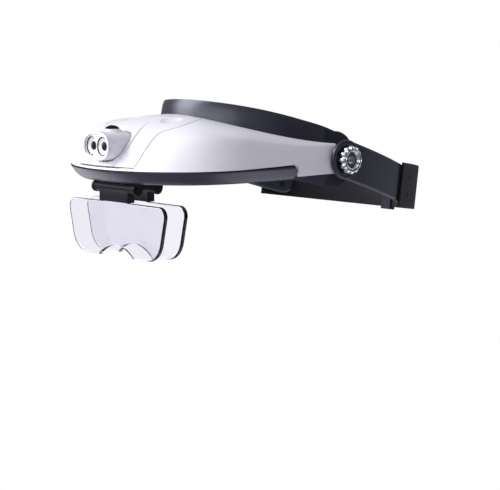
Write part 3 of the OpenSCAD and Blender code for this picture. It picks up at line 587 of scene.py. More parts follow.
white = moulded("white_plastic", (0.832, 0.825, 0.885), 0.34, vary=0.01, coat=0.08, depth=0, wave=12.0)
band_black = moulded("band_plastic", (0.011, 0.011, 0.02), 0.34, vary=0.1, depth=0.01, gloss=1.0)
rim_grey = moulded("rim_plastic", (0.02, 0.018, 0.036), 0.36, vary=0.08, depth=0.01, gloss=1.0)
black = moulded("black_plastic", (0.006, 0.006, 0.012), 0.42, vary=0.2, depth=0.02, gloss=0.22)
tray_black = moulded("tray_plastic", (0.035, 0.035, 0.04), 0.5, vary=0.12, depth=0.03)
washer_nylon = moulded("washer_plastic", (0.5, 0.48, 0.41), 0.45)
bezel_white = moulded("bezel_plastic", (0.8, 0.8, 0.83), 0.2, vary=0.02, coat=0.4, depth=0.008)
button_rubber = moulded("button_rubber", (0.002, 0.002, 0.003), 0.6, vary=0.2, gloss=0.15)
lead_red = moulded("lead_sleeve", (0.22, 0.012, 0.012), 0.4)
board_green = moulded("board", (0.02, 0.12, 0.045), 0.35, vary=0.2, grain=1500)
jacket = moulded("cell_jacket", (0.42, 0.28, 0.08), 0.3, coat=0.3)
diode = moulded("diode_resin", (0.003, 0.003, 0.014), 0.4, vary=0.2, gloss=0.25)
steel = metal("steel", (0.68, 0.69, 0.71), 0.25, (900, 60, 60))
black_steel = metal("blackened_steel", (0.03, 0.03, 0.034), 0.4, (900, 60, 60))
spring_steel = metal("spring_steel", (0.75, 0.75, 0.78), 0.2)
chrome = metal("knob_chrome", (0.74, 0.75, 0.79), 0.13, (300, 300, 300))
# The dishes' coat carries painted shade at their edges and a painted reflection of the diodes
mirror_coat = dish_coat_with_painted_shade("mirror_coat", (0.97, 0.97, 0.99))
acrylic = clear("clear_acrylic", (0.905, 0.893, 0.968), 0.015, 1.0, 1.0)
window_clear = clear("window_clear", (0.1, 0.1, 0.12), 0.04, 0.04, 0.0)
foam_black = foam("foam", (0.045, 0.045, 0.052))
elastic = webbing("webbing", (0.009, 0.009, 0.015))


# The visor's skin: u runs from the left arm (0) over the front (90) to the right arm (180),
# s from the lower edge (0) to the inner edge (1). At ARM_U the arm's straight side ends.

RIM_U0 = ARM_U * (RIM_END_Y + SIDE_Y0) / (VISOR_FRONT_Y + SIDE_Y0)
STEP_U = RIM_U0 - 0.6
INNER_START = math.degrees(math.asin((WIDEST_Y - SIDE_Y0) / (BROW_Y + WIDEST_Y + BAND_GAP)))
INNER_BEND = 50.0


def ring(t, grow=0.0):
    """The band's outer line in plan at ring angle t, grown outwards."""
    a = np.radians(t)
    return (BAND_HALF_W + grow) * np.cos(a), WIDEST_Y - (BROW_Y + WIDEST_Y + grow) * np.sin(a)


def lower_z(y):
    return VISOR_FALL * y


def edge_z(y):
    q = np.maximum(0, -y / (BROW_Y + BAND_GAP))
    return lerp(EDGE_TEMPLE_Z, EDGE_BROW_Z, EDGE_EARLY_RISE * q + (1 - EDGE_EARLY_RISE) * q * q)


def lower_edge(u, inset):
    """The lower edge's line in plan: a bend out from the pivot, a straight side and a round front."""
    y = lerp(SIDE_Y0, -VISOR_FRONT_Y, u / ARM_U)
    near = ease(1 + (y - ARM_BEND_Y) / ARM_BEND_L)
    a = np.radians(90 * (u - ARM_U) / (90 - ARM_U))
    side = u < ARM_U
    half_w = VISOR_HALF_W - inset
    return (np.where(side, half_w - (VISOR_HALF_W - ARM_X) * near, half_w * np.cos(a)),
            np.where(side, y, -VISOR_FRONT_Y - (VISOR_REACH - inset) * np.sin(a)))


def corner_drop(u):
    """Drop of the rim's top, and of the shell's edge over it, in the round corner at the rim's rear end."""
    end = np.clip(1 - (u - RIM_U0) / CORNER_U, 0, 1)
    return CORNER_R * (1 - np.sqrt(1 - end * end)) * (u >= RIM_U0 - 0.01)


def inner_angle(u):
    return np.where(u < ARM_U, lerp(INNER_START, INNER_BEND, u / ARM_U),
                    lerp(INNER_BEND, 90, (u - ARM_U) / (90 - ARM_U)))


def rise(u, s):
    """Share of the rise from the lower edge to the inner edge: steep up the sides, flatter up the front."""
    to_front = ease((u - SIDE_END_U) / (FRONT_START_U - SIDE_END_U))
    return lerp(flowing(s, SIDE_PROFILE), flowing(s, FRONT_PROFILE), to_front)


def skin(u, s, drop=True):
    """Points of the skin.

    With drop, its lowest strip hangs as low as the rim along each arm, and into the rim's round corners.
    """
    u, s = np.broadcast_arrays(np.asarray(u, float), np.asarray(s, float))
    left = np.where(u <= 90, u, 180 - u)
    ax, ay = lower_edge(left, SHELL_INSET)
    t = inner_angle(left)
    bx, by = ring(t, BAND_GAP)
    bx = bx + SIDE_GAP * np.cos(np.radians(t))
    z = lerp(lower_z(ay) + SET_GAP / 2, edge_z(by), rise(left, s))
    if drop:
        arm = ease((STEP_U + 0.05 - left) / 0.1)
        fall = arm * (RIM_DEPTH - RIM_LAP + lower_z(ay)) + corner_drop(left)
        z = z - fall * np.maximum(0, 1 - s / PANEL_LOW_S)
    return points3(lerp(ax, bx, s) * np.where(u <= 90, 1, -1), lerp(ay, by, s), z)


def skin_normal(u, s):
    u, s = np.broadcast_arrays(np.asarray(u, float), np.asarray(s, float))
    up = skin(u, np.minimum(1, s + 0.01), False) - skin(u, np.maximum(0, s - 0.01), False)
    along = skin(np.minimum(180, u + 1), s, False) - skin(np.maximum(0, u - 1), s, False)
    n = np.cross(up, along)
    n[..., 2] = np.where(s < PANEL_LOW_S / 2, 0, n[..., 2])
    return unit(n)


def seam_u(s):
    return flowing(s, SEAM_TABLE)


# Rows up the skin, and lines along it: the arms', the sides' and the panel's
SKIN_ROWS = np.concatenate([[0, 0.006], [PANEL_LOW_S], np.linspace(0.03, 0.34, 24),
                            np.linspace(0.36, 0.94, 34), [PANEL_TOP_S], [0.975, 1.0]])
ARM_LINES = np.concatenate([np.linspace(0, STEP_U - 0.06, 26), np.linspace(STEP_U + 0.06, RIM_U0, 4)[:-1],
                            np.linspace(RIM_U0, RIM_U0 + 1.2, 13),
                            np.linspace(RIM_U0 + 1.6, ARM_U, 20)[:-1]])
SIDE_COLS = 44
PANEL_COLS = 140


def skin_lines(s):
    """Angles of the grid's lines on the row s."""
    edge = seam_u(s)
    side = np.concatenate([ARM_LINES, lerp(ARM_U, edge, np.arange(SIDE_COLS) / SIDE_COLS)])
    panel = lerp(edge, 180 - edge, np.arange(PANEL_COLS + 1) / PANEL_COLS)
    return np.concatenate([side, panel, 180 - side[::-1]])


# The visor

def visor_shell():
    u = np.stack([skin_lines(s) for s in SKIN_ROWS], 1)
    s = np.broadcast_to(SKIN_ROWS, u.shape)
    outer = skin(u, s)
    inner = outer - SHELL_T * skin_normal(u, s)
    first = len(ARM_LINES) + SIDE_COLS
    low, top = list(SKIN_ROWS).index(PANEL_LOW_S), list(SKIN_ROWS).index(PANEL_TOP_S)
    parts = [wall_between(outer, inner, (first, first + PANEL_COLS, low, top))]
    wall_x, edge = ARM_X - SHELL_T, 0.5
    parts += both_sides(turned([(STUD_HOLE_R, ARM_BOSS_X), (ARM_NECK_R, ARM_BOSS_X), (ARM_NECK_R, wall_x),
                                (ARM_R, wall_x), (ARM_R, ARM_X - edge), (ARM_R - edge, ARM_X),
                                (STUD_HOLE_R, ARM_X)], (0, 0, 0), "X", loop=True))
    shell = piece("visor_shell_skin", parts, white, bevel=0.2, angle=50)
    fitted(shell, "visor", "white_plastic", "visor_shell")


def oval(half_w, half_h, y, n=96):
    """The lamp's outline in front view."""
    a = round_angles(n)
    x, z = half_w * squared(np.cos(a), OVAL_POWER), half_h * squared(np.sin(a), OVAL_POWER)
    return points3(x, y, LAMP_Z + z)


def lamp_opening():
    """What the panel loses to the lamp: a tunnel as tall as its tilt needs, and a slot for its button."""
    past, over_all = 12, 60
    reach, r = LAMP_L + past, LAMP_HALF_H + LAMP_GAP
    rings = []
    for k in (-1, 0, 0.25, 0.5, 0.7, 0.85):
        d = reach if k < 0 else 0
        up, low = d * math.sin(math.radians(LAMP_UP)), d * math.sin(math.radians(LAMP_DOWN))
        half_h = (r if k < 0 else r * math.sqrt(1 - k * k)) + (up + low) / 2
        half_w = LAMP_HALF_W + LAMP_GAP - 2 * max(0, k) ** 3
        y = k * (reach if k < 0 else r) - LAMP_PIN_Y
        rings.append(oval(half_w, half_h, y) + [0, 0, (up - low) / 2])
    w = COLLAR_R + LAMP_GAP
    return [loft(rings), block((-w, -LAMP_PIN_Y - past, LAMP_Z), (w, LAMP_HOLE_BACK, over_all))]


def boss_under(u, s, z):
    """A screw boss from height z up into the panel."""
    x, y, skin_z = skin(u, s)
    top = skin_z - BOSS_SINK
    profile = [(SCREW_HOLE_R, z), (BOSS_R, z), (BOSS_R, top), (SCREW_HOLE_R, top)]
    return turned(profile, (x, y, 0), "Z", 32, True)


def lamp_ear():
    """An ear that hangs from the panel beside the lamp and holds its tilt pin."""
    x0 = LAMP_HALF_W + LAMP_GAP + MOVE_GAP
    tops = [skin(EAR_U, s) - SHELL_T / 2 * skin_normal(EAR_U, s) for s in (0.2, 0.24, 0.32)]
    round_end = [(-LAMP_PIN_Y - EAR_R * math.cos(a), LAMP_Z - EAR_R * math.sin(a))
                 for a in np.linspace(0, math.pi, 24)]
    outline = [(p[1], p[2]) for p in reversed(tops)] + round_end + [(tops[2][1], LAMP_Z + EAR_R)]
    return loft([[(x, y, z) for y, z in outline] for x in (x0, x0 + EAR_T)])


def centre_panel():
    rows = np.concatenate([[PANEL_LOW_S + 0.01], SKIN_ROWS[3:-3], [PANEL_TOP_S - 0.006]])
    cols = SEAM_SHARE + (1 - 2 * SEAM_SHARE) * np.arange(PANEL_COLS + 1) / PANEL_COLS
    edge = np.broadcast_to(seam_u(rows), (len(cols), len(rows)))
    u = lerp(edge, 180 - edge, cols[:, None])
    s = np.broadcast_to(rows, u.shape)
    n = skin_normal(u, s)
    outer = skin(u, s)
    # A fold runs beside each side seam, and the field between the two folds stands a little proud
    inset = np.minimum(u, 180 - u) - flowing(s, FOLD_TABLE)
    fade = ease((s - PANEL_LOW_S) / 0.02) * ease((FOLD_TOP_S - s) / 0.25)
    proud = (FIELD_PROUD * ease((inset + 0.2) / 0.9) - FOLD_DEPTH * np.exp(-(inset / FOLD_W) ** 2)) * fade
    middle = skin(DIMPLE_U, DIMPLE_S)
    away = np.min([np.linalg.norm(outer - middle * [side, 1, 1], axis=-1) for side in (1, -1)], axis=0)
    dimple = DIMPLE_DEPTH * np.clip(1 - (away / DIMPLE_R) ** 2, 0, 1) ** 0.65
    wall = wall_between(outer + (proud - dimple)[..., None] * n, outer - SHELL_T * n)
    panel = piece("centre_panel_skin", [wall], white)
    bore = turned([(LAMP_PIN_HOLE_R, LAMP_HALF_W - 0.5), (LAMP_PIN_HOLE_R, LAMP_HALF_W + 5)],
                  (0, -LAMP_PIN_Y, LAMP_Z), "X", 32)
    cut(panel, lamp_opening() + both_sides(bore))
    under = piece("panel_ears", both_sides(lamp_ear()) + both_sides(boss_under(*BRACKET_BOSS, BRACKET_TOP_Z))
                  + both_sides(boss_under(*TRAY_BOSS, TRAY_FLANGE_Z)), white)
    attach(under, "visor")
    ease_edges(panel, 0.2, 50)
    fitted(panel, "visor", "white_plastic", "centre_panel")


def rim_section(u):
    """The rim's section at angle u: a ledge at its top, a hollow outer face drawn in, and its inner face."""
    y = lower_edge(u, 0)[1]
    draw = lerp(RIM_END_DRAW, RIM_DRAW, ease((u - 8) / 34))
    end = max(0.0, 1 - (u - RIM_U0) / 0.6)
    top = lower_z(y) - SET_GAP / 2 - corner_drop(u)
    low = -RIM_DEPTH + RIM_FALL * y + RIM_END_LIFT * end ** 3
    line = ((2.0, 0), (2.0, 0.09), (0.0, 0.1), (0.06 * draw - 0.4, 0.14), (0.2 * draw - 0.5, 0.3),
            (0.38 * draw - 0.55, 0.5), (0.55 * draw - 0.5, 0.7), (0.78 * draw - 0.3, 0.88), (draw, 1),
            (draw + RIM_T - 0.4, 1), (0.55 * draw + RIM_T, 0.55), (RIM_T, 0))
    return [(*(float(v) for v in lower_edge(u, inset)), lerp(top, low, t)) for inset, t in line]


def visor_rim():
    corner = RIM_U0 + CORNER_U * (1 - np.cos(np.linspace(0, math.pi / 2, 10)))
    half = [rim_section(np.float64(u)) for u in [*corner, *np.linspace(RIM_U0 + 1.6, 90, 90)]]
    rings = half + [[(-x, y, z) for x, y, z in r] for r in half[-2::-1]]
    rim = piece("visor_rim_moulding", [loft(rings)], rim_grey, bevel=0.3, angle=40, segments=3)
    fitted(rim, "visor", "rim_plastic", "visor_rim")


# The forehead band and its foam pad

BAND_ACROSS = np.array([0, 0.03, 0.08, 0.18, 0.3, 0.4, 0.5, 0.6, 0.7, 0.82, 0.92, 0.97, 1.0])
BAND_CROWN = [[0, -0.7], [0.08, 0], [0.5, 0.3], [0.92, 0], [1, -0.7]]


def forward(y):
    return np.maximum(0, -y / BROW_Y)


def band_top(y):
    share = (1 + BAND_TOP_BOW) * forward(y) - BAND_TOP_BOW * forward(y) ** 2
    return LOBE_R + (BAND_TOP_Z - LOBE_R) * share


def band_low(y):
    return (BAND_LOW_Z + LOBE_R) * forward(y) ** BAND_LOW_POWER - LOBE_R


def ring_angle(y):
    return math.degrees(math.asin((WIDEST_Y - y) / (BROW_Y + WIDEST_Y)))


def band_row(t, side):
    """Points up the curved band at ring angle t, on its outer side (1) or its inner side (-1)."""
    lean = BAND_LEAN * BAND_ACROSS ** 2 * math.sin(math.radians(t)) ** 2
    crown = flowing(BAND_ACROSS, BAND_CROWN)
    x, y = ring(t, (crown if side > 0 else -BAND_T - crown * 0.5) - lean)
    mid = ring(t)[1]
    return points3(x, y, lerp(band_low(mid), band_top(mid), BAND_ACROSS))


def lobe_row(y, side):
    half = LOBE_R * math.sqrt(max(0.0, 1 - (y / LOBE_R) ** 2)) if y > 0 else 0
    top, low = (half, -half) if y > 0 else (band_top(y), band_low(y))
    return points3(LOBE_X - (0 if side > 0 else BAND_T), y, lerp(low, top, BAND_ACROSS))


def bend_row(q, side):
    """Between the flat lobe and the curved band, level with both at its ends."""
    t = ring_angle(BAND_START_Y)
    a, b = lobe_row(LOBE_FRONT_Y, side), band_row(t, side)
    y = lerp(LOBE_FRONT_Y, BAND_START_Y, q)
    slope = BAND_HALF_W / (BROW_Y + WIDEST_Y) * math.tan(math.radians(t)) * (LOBE_FRONT_Y - BAND_START_Y)
    row = lerp(a, b, q)
    row[:, 0] = lerp(a[:, 0], b[:, 0], ease(q)) + q * q * (1 - q) * slope
    row[:, 2] = lerp(band_low(y), band_top(y), BAND_ACROSS)
    return row


def band_side(side):
    """The whole band's outer side (1) or inner side (-1), from lobe to lobe."""
    rows = [lobe_row(LOBE_R * math.sin(a), side) for a in np.radians(np.linspace(86, 0, 22))]
    rows += [lobe_row(y, side) for y in (-2, -4, -6)]
    rows += [bend_row(q, side) for q in np.linspace(0.1, 0.9, 9)]
    rows += [band_row(t, side) for t in np.linspace(ring_angle(BAND_START_Y), 90, 64)]
    left = np.array(rows)
    return np.concatenate([left, (left * [-1, 1, 1])[-2::-1]])


def forehead_band():
    band = piece("forehead_band_moulding", [wall_between(band_side(1), band_side(-1))], band_black)
    past = BAND_HALF_W + 5
    cut(band, [turned([(STUD_HOLE_R, -past), (STUD_HOLE_R, past)], (0, 0, 0), "X", 48)])
    ease_edges(band, 0.5, 40, 3)
    fitted(band, "headband", "band_plastic", "forehead_band")


def brow_pad():
    """Foam pad: crowned cells with pinched channels between them, swelling away from the band."""
    a = round_angles(48)
    rings = []
    for q in np.linspace(0, 1, 241):
        t = lerp(PAD_END, 180 - PAD_END, q)
        mid = ring(t)[1]
        cell = abs(math.sin(math.pi * PAD_CELLS * q)) ** 0.55
        tip = min(1, 6 * min(q, 1 - q) + 0.25)
        thick = lerp(PAD_PINCHED_T, PAD_T, cell) * tip
        across = 0.5 + 0.5 * squared(np.cos(a), 0.75) * (0.9 + 0.1 * cell) * (0.85 + 0.15 * tip)
        depth = 0.5 - 0.5 * squared(np.sin(a), 0.8)
        z = lerp(band_low(mid) + PAD_INSET, band_top(mid) - PAD_INSET, across)
        w = (z - band_low(mid)) / (band_top(mid) - band_low(mid))
        lean = BAND_LEAN * w * w * math.sin(math.radians(t)) ** 2
        rings.append(points3(*ring(t, -BAND_T - SET_GAP - lean - thick * depth - 0.3), z))
    pad = piece("brow_pad_foam", [loft(rings)], foam_black)
    fitted(pad, "headband", "foam", "brow_pad")


# The rear strap and its tabs, in the strap's frame and then turned down about the temple pivots

def turned_down(points):
    a = math.radians(STRAP_FALL)
    y, z = points[..., 1], points[..., 2]
    return points3(points[..., 0], y * math.cos(a) + z * math.sin(a), z * math.cos(a) - y * math.sin(a))


def strap_angle(v):
    return np.arcsin(np.asarray(v, float) / STRAP_REACH)


def strap_point(a, d, w):
    """A point of the strap: angle a round the back of the head, d out from its line and height w."""
    n = unit(points3(np.cos(a) / STRAP_X, np.sin(a) / STRAP_REACH))
    return points3(STRAP_X * np.cos(a) + d * n[..., 0], STRAP_REACH * np.sin(a) + d * n[..., 1], w)


def strap_tab(side):
    """A tab: a blade with rounded corners that follows the strap's line, and a disc on the pivot."""
    turn = math.radians(TAB_TURN)
    blade_l = TAB_L - TAB_END_L
    v = np.concatenate([np.linspace(0, blade_l, 60),
                        blade_l + TAB_END_L * np.sin(np.linspace(0.08, 1, 14) * math.pi / 2)])
    corner = np.maximum(0, v - blade_l) / TAB_END_L
    half = TAB_W / 2 - TAB_CORNER * (1 - np.sqrt(1 - np.clip(corner, 0, 1) ** 2 * 0.999))
    w = half[:, None] * np.linspace(-1, 1, 25)
    v = np.broadcast_to(v[:, None], w.shape)
    edge = 0.7 + 0.3 * ease((half[:, None] - np.abs(w)) / 1.2)
    along, height = v * math.cos(turn) + w * math.sin(turn), w * math.cos(turn) - v * math.sin(turn)
    faces = [turned_down(strap_point(strap_angle(along), d * TAB_T / 2 * edge, height)) for d in (1, -1)]
    face = TAB_X + TAB_T
    disc = turned([(STUD_HOLE_R, TAB_X), (TAB_R - 0.4, TAB_X), (TAB_R, TAB_X + 0.4), (TAB_R, face - 0.9),
                   (TAB_R - 0.25, face - 0.3), (TAB_R - 0.9, face), (TAB_R - 3.2, face),
                   (TAB_R - 3.5, face - 0.25), (STUD_HOLE_R, face - 0.25)], (0, 0, 0), "X", 96, True)
    parts = [wall_between(*faces), disc]
    if side == "right":
        parts = [mirrored(p) for p in parts]
    tab = piece(side + "_strap_tab_moulding", parts, band_black, bevel=0.4, angle=40, segments=3)
    fitted(tab, "rear_strap", "band_plastic", side + "_strap_tab")


# Geometry Nodes

def node_tree(name, sizes):
    """A tree with a geometry input, named sizes and a geometry output."""
    tree = bpy.data.node_groups.new(name, "GeometryNodeTree")
    tree.interface.new_socket("Geometry", in_out="INPUT", socket_type="NodeSocketGeometry")
    for label, value in sizes.items():
        tree.interface.new_socket(label, in_out="INPUT", socket_type="NodeSocketFloat").default_value = value
    tree.interface.new_socket("Geometry", in_out="OUTPUT", socket_type="NodeSocketGeometry")
    return tree, tree.nodes.new("NodeGroupInput"), tree.nodes.new("NodeGroupOutput")


def end_tree(tree, result, geometry, material):
    real = add(tree, "GeometryNodeRealizeInstances", Geometry=geometry)
    painted = add(tree, "GeometryNodeSetMaterial", Geometry=real.outputs["Geometry"], Material=material)
    smooth = add(tree, "GeometryNodeSetShadeSmooth", Geometry=painted.outputs["Geometry"])
    tree.links.new(smooth.outputs["Geometry"], result.inputs["Geometry"])


def grow(name, base, tree, sizes):
    """Runs the tree on the base object and returns the result as a plain object."""
    mod = base.modifiers.new(name, "NODES")
    mod.node_group = tree
    for item in tree.interface.items_tree:
        if item.item_type == "SOCKET" and item.in_out == "INPUT" and item.name in sizes:
            mod[item.identifier] = float(sizes[item.name])
    mesh = plain_mesh(base)
    bpy.data.objects.remove(base)
    mesh.name = name
    return object_from(name, mesh)


def point_cloud(name, points, edges=()):
    mesh = bpy.data.meshes.new(name)
    mesh.from_pydata([tuple(p * MM) for p in np.asarray(points, float)], list(edges), [])
    return object_from(name, mesh)


def webbing_tree(sizes):
    """A strap swept along a line, with rounded edges and the chart that its weave is drawn on."""
    tree, source, result = node_tree("strap webbing", sizes)
    path = add(tree, "GeometryNodeMeshToCurve", Mesh=source.outputs["Geometry"])
    upright = add(tree, "GeometryNodeSetCurveNormal", Curve=path.outputs["Curve"])
    upright.mode = "Z_UP"
    along = add(tree, "GeometryNodeSplineParameter")
    marked = add(tree, "GeometryNodeStoreNamedAttribute", Geometry=upright.outputs["Curve"], Name="run",
                 Value=along.outputs["Length"])
    marked.data_type, marked.domain = "FLOAT", "POINT"
    outline = add(tree, "GeometryNodeCurvePrimitiveQuadrilateral", Width=source.outputs["Thickness"],
                  Height=source.outputs["Width"])
    fine = add(tree, "GeometryNodeSubdivideCurve", Curve=outline.outputs["Curve"], Cuts=23)
    rounded = add(tree, "GeometryNodeFilletCurve", Curve=fine.outputs["Curve"], Radius=STRAP_EDGE_R * MM)
    rounded.mode = "POLY"
    rounded.inputs["Count"].default_value = 3
    swept = add(tree, "GeometryNodeCurveToMesh", Curve=marked.outputs["Geometry"],
                Profile_Curve=rounded.outputs["Curve"], Fill_Caps=True)
    place = add(tree, "GeometryNodeInputPosition")
    height = add(tree, "ShaderNodeSeparateXYZ", Vector=place.outputs["Position"])
    run = add(tree, "GeometryNodeInputNamedAttribute", Name="run")
    run.data_type = "FLOAT"
    chart = add(tree, "ShaderNodeCombineXYZ", X=height.outputs["Z"], Y=run.outputs["Attribute"])
    mapped = add(tree, "GeometryNodeStoreNamedAttribute", Geometry=swept.outputs["Mesh"], Name="weave")
    mapped.data_type, mapped.domain = "FLOAT_VECTOR", "POINT"
    tree.links.new(chart.outputs["Vector"], mapped.inputs["Value"])
    end_tree(tree, result, mapped.outputs["Geometry"], elastic)
    return tree


def rear_strap():
    a0 = strap_angle(STRAP_START)
    a = np.linspace(a0, math.pi - a0, 180)
    line = strap_point(np.minimum(a, math.pi - a), STRAP_OFF, STRAP_TOP - STRAP_W / 2)
    line[:, 0] *= np.where(a > math.pi / 2, -1, 1)
    path = point_cloud("strap path", line, [(i, i + 1) for i in range(len(line) - 1)])
    sizes = {"Width": STRAP_W * MM, "Thickness": STRAP_T * MM}
    strap = grow("rear_strap_webbing", path, webbing_tree(sizes), sizes)
    strap.data.transform(Matrix.Rotation(math.radians(-STRAP_FALL), 4, "X"))
    fitted(strap, "rear_strap", "webbing", "rear_strap")


def fastener_tree(sizes, material):
    """A domed head on a shank, set on each point and turned to the point's own direction."""
    tree, source, result = node_tree("fasteners", sizes)
    size = source.outputs
    head = add(tree, "GeometryNodeMeshUVSphere", Segments=32, Rings=16, Radius=size["Head radius"])
    share = reckon(tree, "DIVIDE", size["Head height"], size["Head radius"])
    scale = add(tree, "ShaderNodeCombineXYZ", X=1.0, Y=1.0, Z=share)
    dome = add(tree, "GeometryNodeTransform", Geometry=head.outputs["Mesh"], Scale=scale.outputs["Vector"])
    shank = add(tree, "GeometryNodeMeshCylinder", Vertices=32, Radius=size["Shank radius"],
                Depth=size["Shank length"])
    drop = add(tree, "ShaderNodeCombineXYZ", Z=reckon(tree, "MULTIPLY", size["Shank length"], -0.5))
    stem = add(tree, "GeometryNodeTransform", Geometry=shank.outputs["Mesh"],
               Translation=drop.outputs["Vector"])
    joined = add(tree, "GeometryNodeJoinGeometry")
    for part in (dome, stem):
        tree.links.new(part.outputs["Geometry"], joined.inputs["Geometry"])
    facing = add(tree, "GeometryNodeInputNamedAttribute", Name="facing")
    facing.data_type = "FLOAT_VECTOR"
    turn = add(tree, "FunctionNodeAlignRotationToVector", Vector=facing.outputs["Attribute"])
    turn.axis = "Z"
    placed = add(tree, "GeometryNodeInstanceOnPoints", Points=size["Geometry"],
                 Instance=joined.outputs["Geometry"], Rotation=turn.outputs["Rotation"])
    end_tree(tree, result, placed.outputs["Instances"], material)
    return tree


def strap_rivets():
    """Two rivets through the strap and each tab, with a head on both faces."""
    a = strap_angle(RIVET_V)
    outer = STRAP_OFF + 0.5 * STRAP_T
    places, facing = [], []
    for w in (-RIVET_W, RIVET_W):
        w = w - RIVET_V * math.sin(math.radians(TAB_TURN))
        out = unit(strap_point(a, 1.0, w) - strap_point(a, 0.0, w))
        for mirror in (1, -1):
            for d, way in ((outer, 1), (-TAB_T / 2 - SET_GAP, -1)):
                places.append(turned_down(strap_point(a, d, w)) * [mirror, 1, 1])
                facing.append(turned_down(out * way) * [mirror, 1, 1])
    cloud = point_cloud("rivet places", places)
    attribute = cloud.data.attributes.new("facing", "FLOAT_VECTOR", "POINT")
    attribute.data.foreach_set("vector", np.array(facing, np.float32).ravel())
    half_shank = (outer + TAB_T / 2 + SET_GAP) / 2 + 0.1
    sizes = {"Head radius": RIVET_HEAD_R * MM, "Head height": RIVET_HEAD_T * MM, "Shank radius": RIVET_R * MM,
             "Shank length": half_shank * MM}
    rivets = grow("strap_rivet_heads", cloud, fastener_tree(sizes, black), sizes)
    fitted(rivets, "rear_strap", "black_plastic", "strap_rivets")


# The lamp

def lamp_stations(w):
    """Rings of the lamp's surface from its round tail to its straight front, drawn in by w."""
    half_w, half_h = LAMP_HALF_W - w, LAMP_HALF_H - w
    rings = []
    for k in (0.98, 0.95, 0.9, 0.84, 0.76, 0.66, 0.54, 0.42, 0.3, 0.18, 0.08):
        d = half_h * k
        tail_h = math.sqrt(max(0.4, LAMP_HALF_H ** 2 - d ** 2)) - w
        rings.append(oval(half_w - LAMP_TAPER - LAMP_TAIL_DRAW * k ** 3, tail_h, d - LAMP_PIN_Y))
    for q in (0, 0.35, 0.7, 1):
        y = lerp(-LAMP_PIN_Y, LAMP_FACE + LAMP_STRAIGHT_L, q)
        rings.append(oval(half_w - LAMP_TAPER * (1 - q), half_h, y))
    return rings


def lamp_housing():
    edge = 0.3
    outer = lamp_stations(0) + [oval(LAMP_HALF_W, LAMP_HALF_H, LAMP_FACE + edge),
                                oval(LAMP_HALF_W - edge, LAMP_HALF_H - edge, LAMP_FACE)]
    inner = [oval(LAMP_HALF_W - LAMP_T, LAMP_HALF_H - LAMP_T, LAMP_FACE)] + lamp_stations(LAMP_T)[::-1]
    top, inside = LAMP_Z + LAMP_HALF_H, BUTTON_R - 1
    collar_line = ((inside, -LAMP_T), (COLLAR_R + 2.2, -LAMP_T), (COLLAR_R + 1.6, -0.5),
                   (COLLAR_R + 0.8, 0.3), (COLLAR_R + 0.2, 0.9), (COLLAR_R - 0.1, COLLAR_H - 0.3),
                   (COLLAR_R - 0.4, COLLAR_H), (inside, COLLAR_H))
    collar = turned([(r, top + h) for r, h in collar_line], (0, -BUTTON_Y, 0), "Z", loop=True)
    body = piece("lamp_housing_moulding", [loft(outer + inner), collar], white)
    bore_r = BUTTON_R + FIT + 0.1
    cut(body, [turned([(bore_r, LAMP_Z), (bore_r, LAMP_Z + 20)], (0, -BUTTON_Y, 0), "Z")])
    fitted(body, "lamp", "white_plastic", "lamp_housing")


def lamp_bezel():
    line = ((0.1, 0), (0.1, -0.7), (-0.15, -1.15), (-0.6, -BEZEL_T), (-1.3, -BEZEL_T), (-1.7, -1.2),
            (-BEZEL_W, -0.8), (-BEZEL_W, 0))
    rings = [oval(LAMP_HALF_W + d, LAMP_HALF_H + d, LAMP_FACE - FIT + y, 120) for d, y in line]
    bezel = piece("lamp_bezel_ring", [loft(rings, True)], bezel_white)
    fitted(bezel, "lamp", "bezel_plastic", "lamp_bezel")


def plate_with_holes(outline, holes, y):
    """A flat face in the plane y inside an outline and round its holes, all given as (x, z)."""
    curve = bpy.data.curves.new("outline", "CURVE")
    curve.dimensions, curve.fill_mode = "2D", "BOTH"
    for line in [outline, *holes]:
        spline = curve.splines.new("POLY")
        spline.points.add(len(line) - 1)
        spline.use_cyclic_u = True
        for point, (x, z) in zip(spline.points, line):
            point.co = (x, z, 0, 1)
    flat = object_from("flat", curve)
    mesh = flat.evaluated_get(bpy.context.evaluated_depsgraph_get()).to_mesh()
    points = np.array([v.co for v in mesh.vertices])
    faces = [tuple(p.vertices) for p in mesh.polygons]
    bpy.data.objects.remove(flat)
    return points3(points[:, 0], y, points[:, 1] + LAMP_Z), faces


def lamp_dish(x):
    """A dish behind the diode at x: a shallow bowl, a little taller than wide at its edge, and a tube."""
    wall, hole = 0.1, LED_D / 2 + 0.1
    profile = [(DISH_R, LAMP_FACE)]
    profile += [(lerp(hole + wall, DISH_R, math.sqrt(q)), LAMP_FACE + DISH_DEPTH * (1 - q))
                for q in np.linspace(1, 0, 14)]
    profile += [(hole, LAMP_FACE + REFLECTOR_L)]
    back = [(DISH_R + wall, LAMP_FACE + 0.35)] + [(r + wall, y + 0.3) for r, y in profile[1:]]
    points, faces = turned(profile + back[::-1], (x, 0, LAMP_Z), "Y", loop=True)
    reach = np.hypot(points[:, 0] - x, points[:, 2] - LAMP_Z)
    tall = lerp(1, DISH_TALL, np.clip((reach - hole) / (DISH_R - hole), 0, 1))
    points[:, 2] = LAMP_Z + (points[:, 2] - LAMP_Z) * tall
    return points, faces


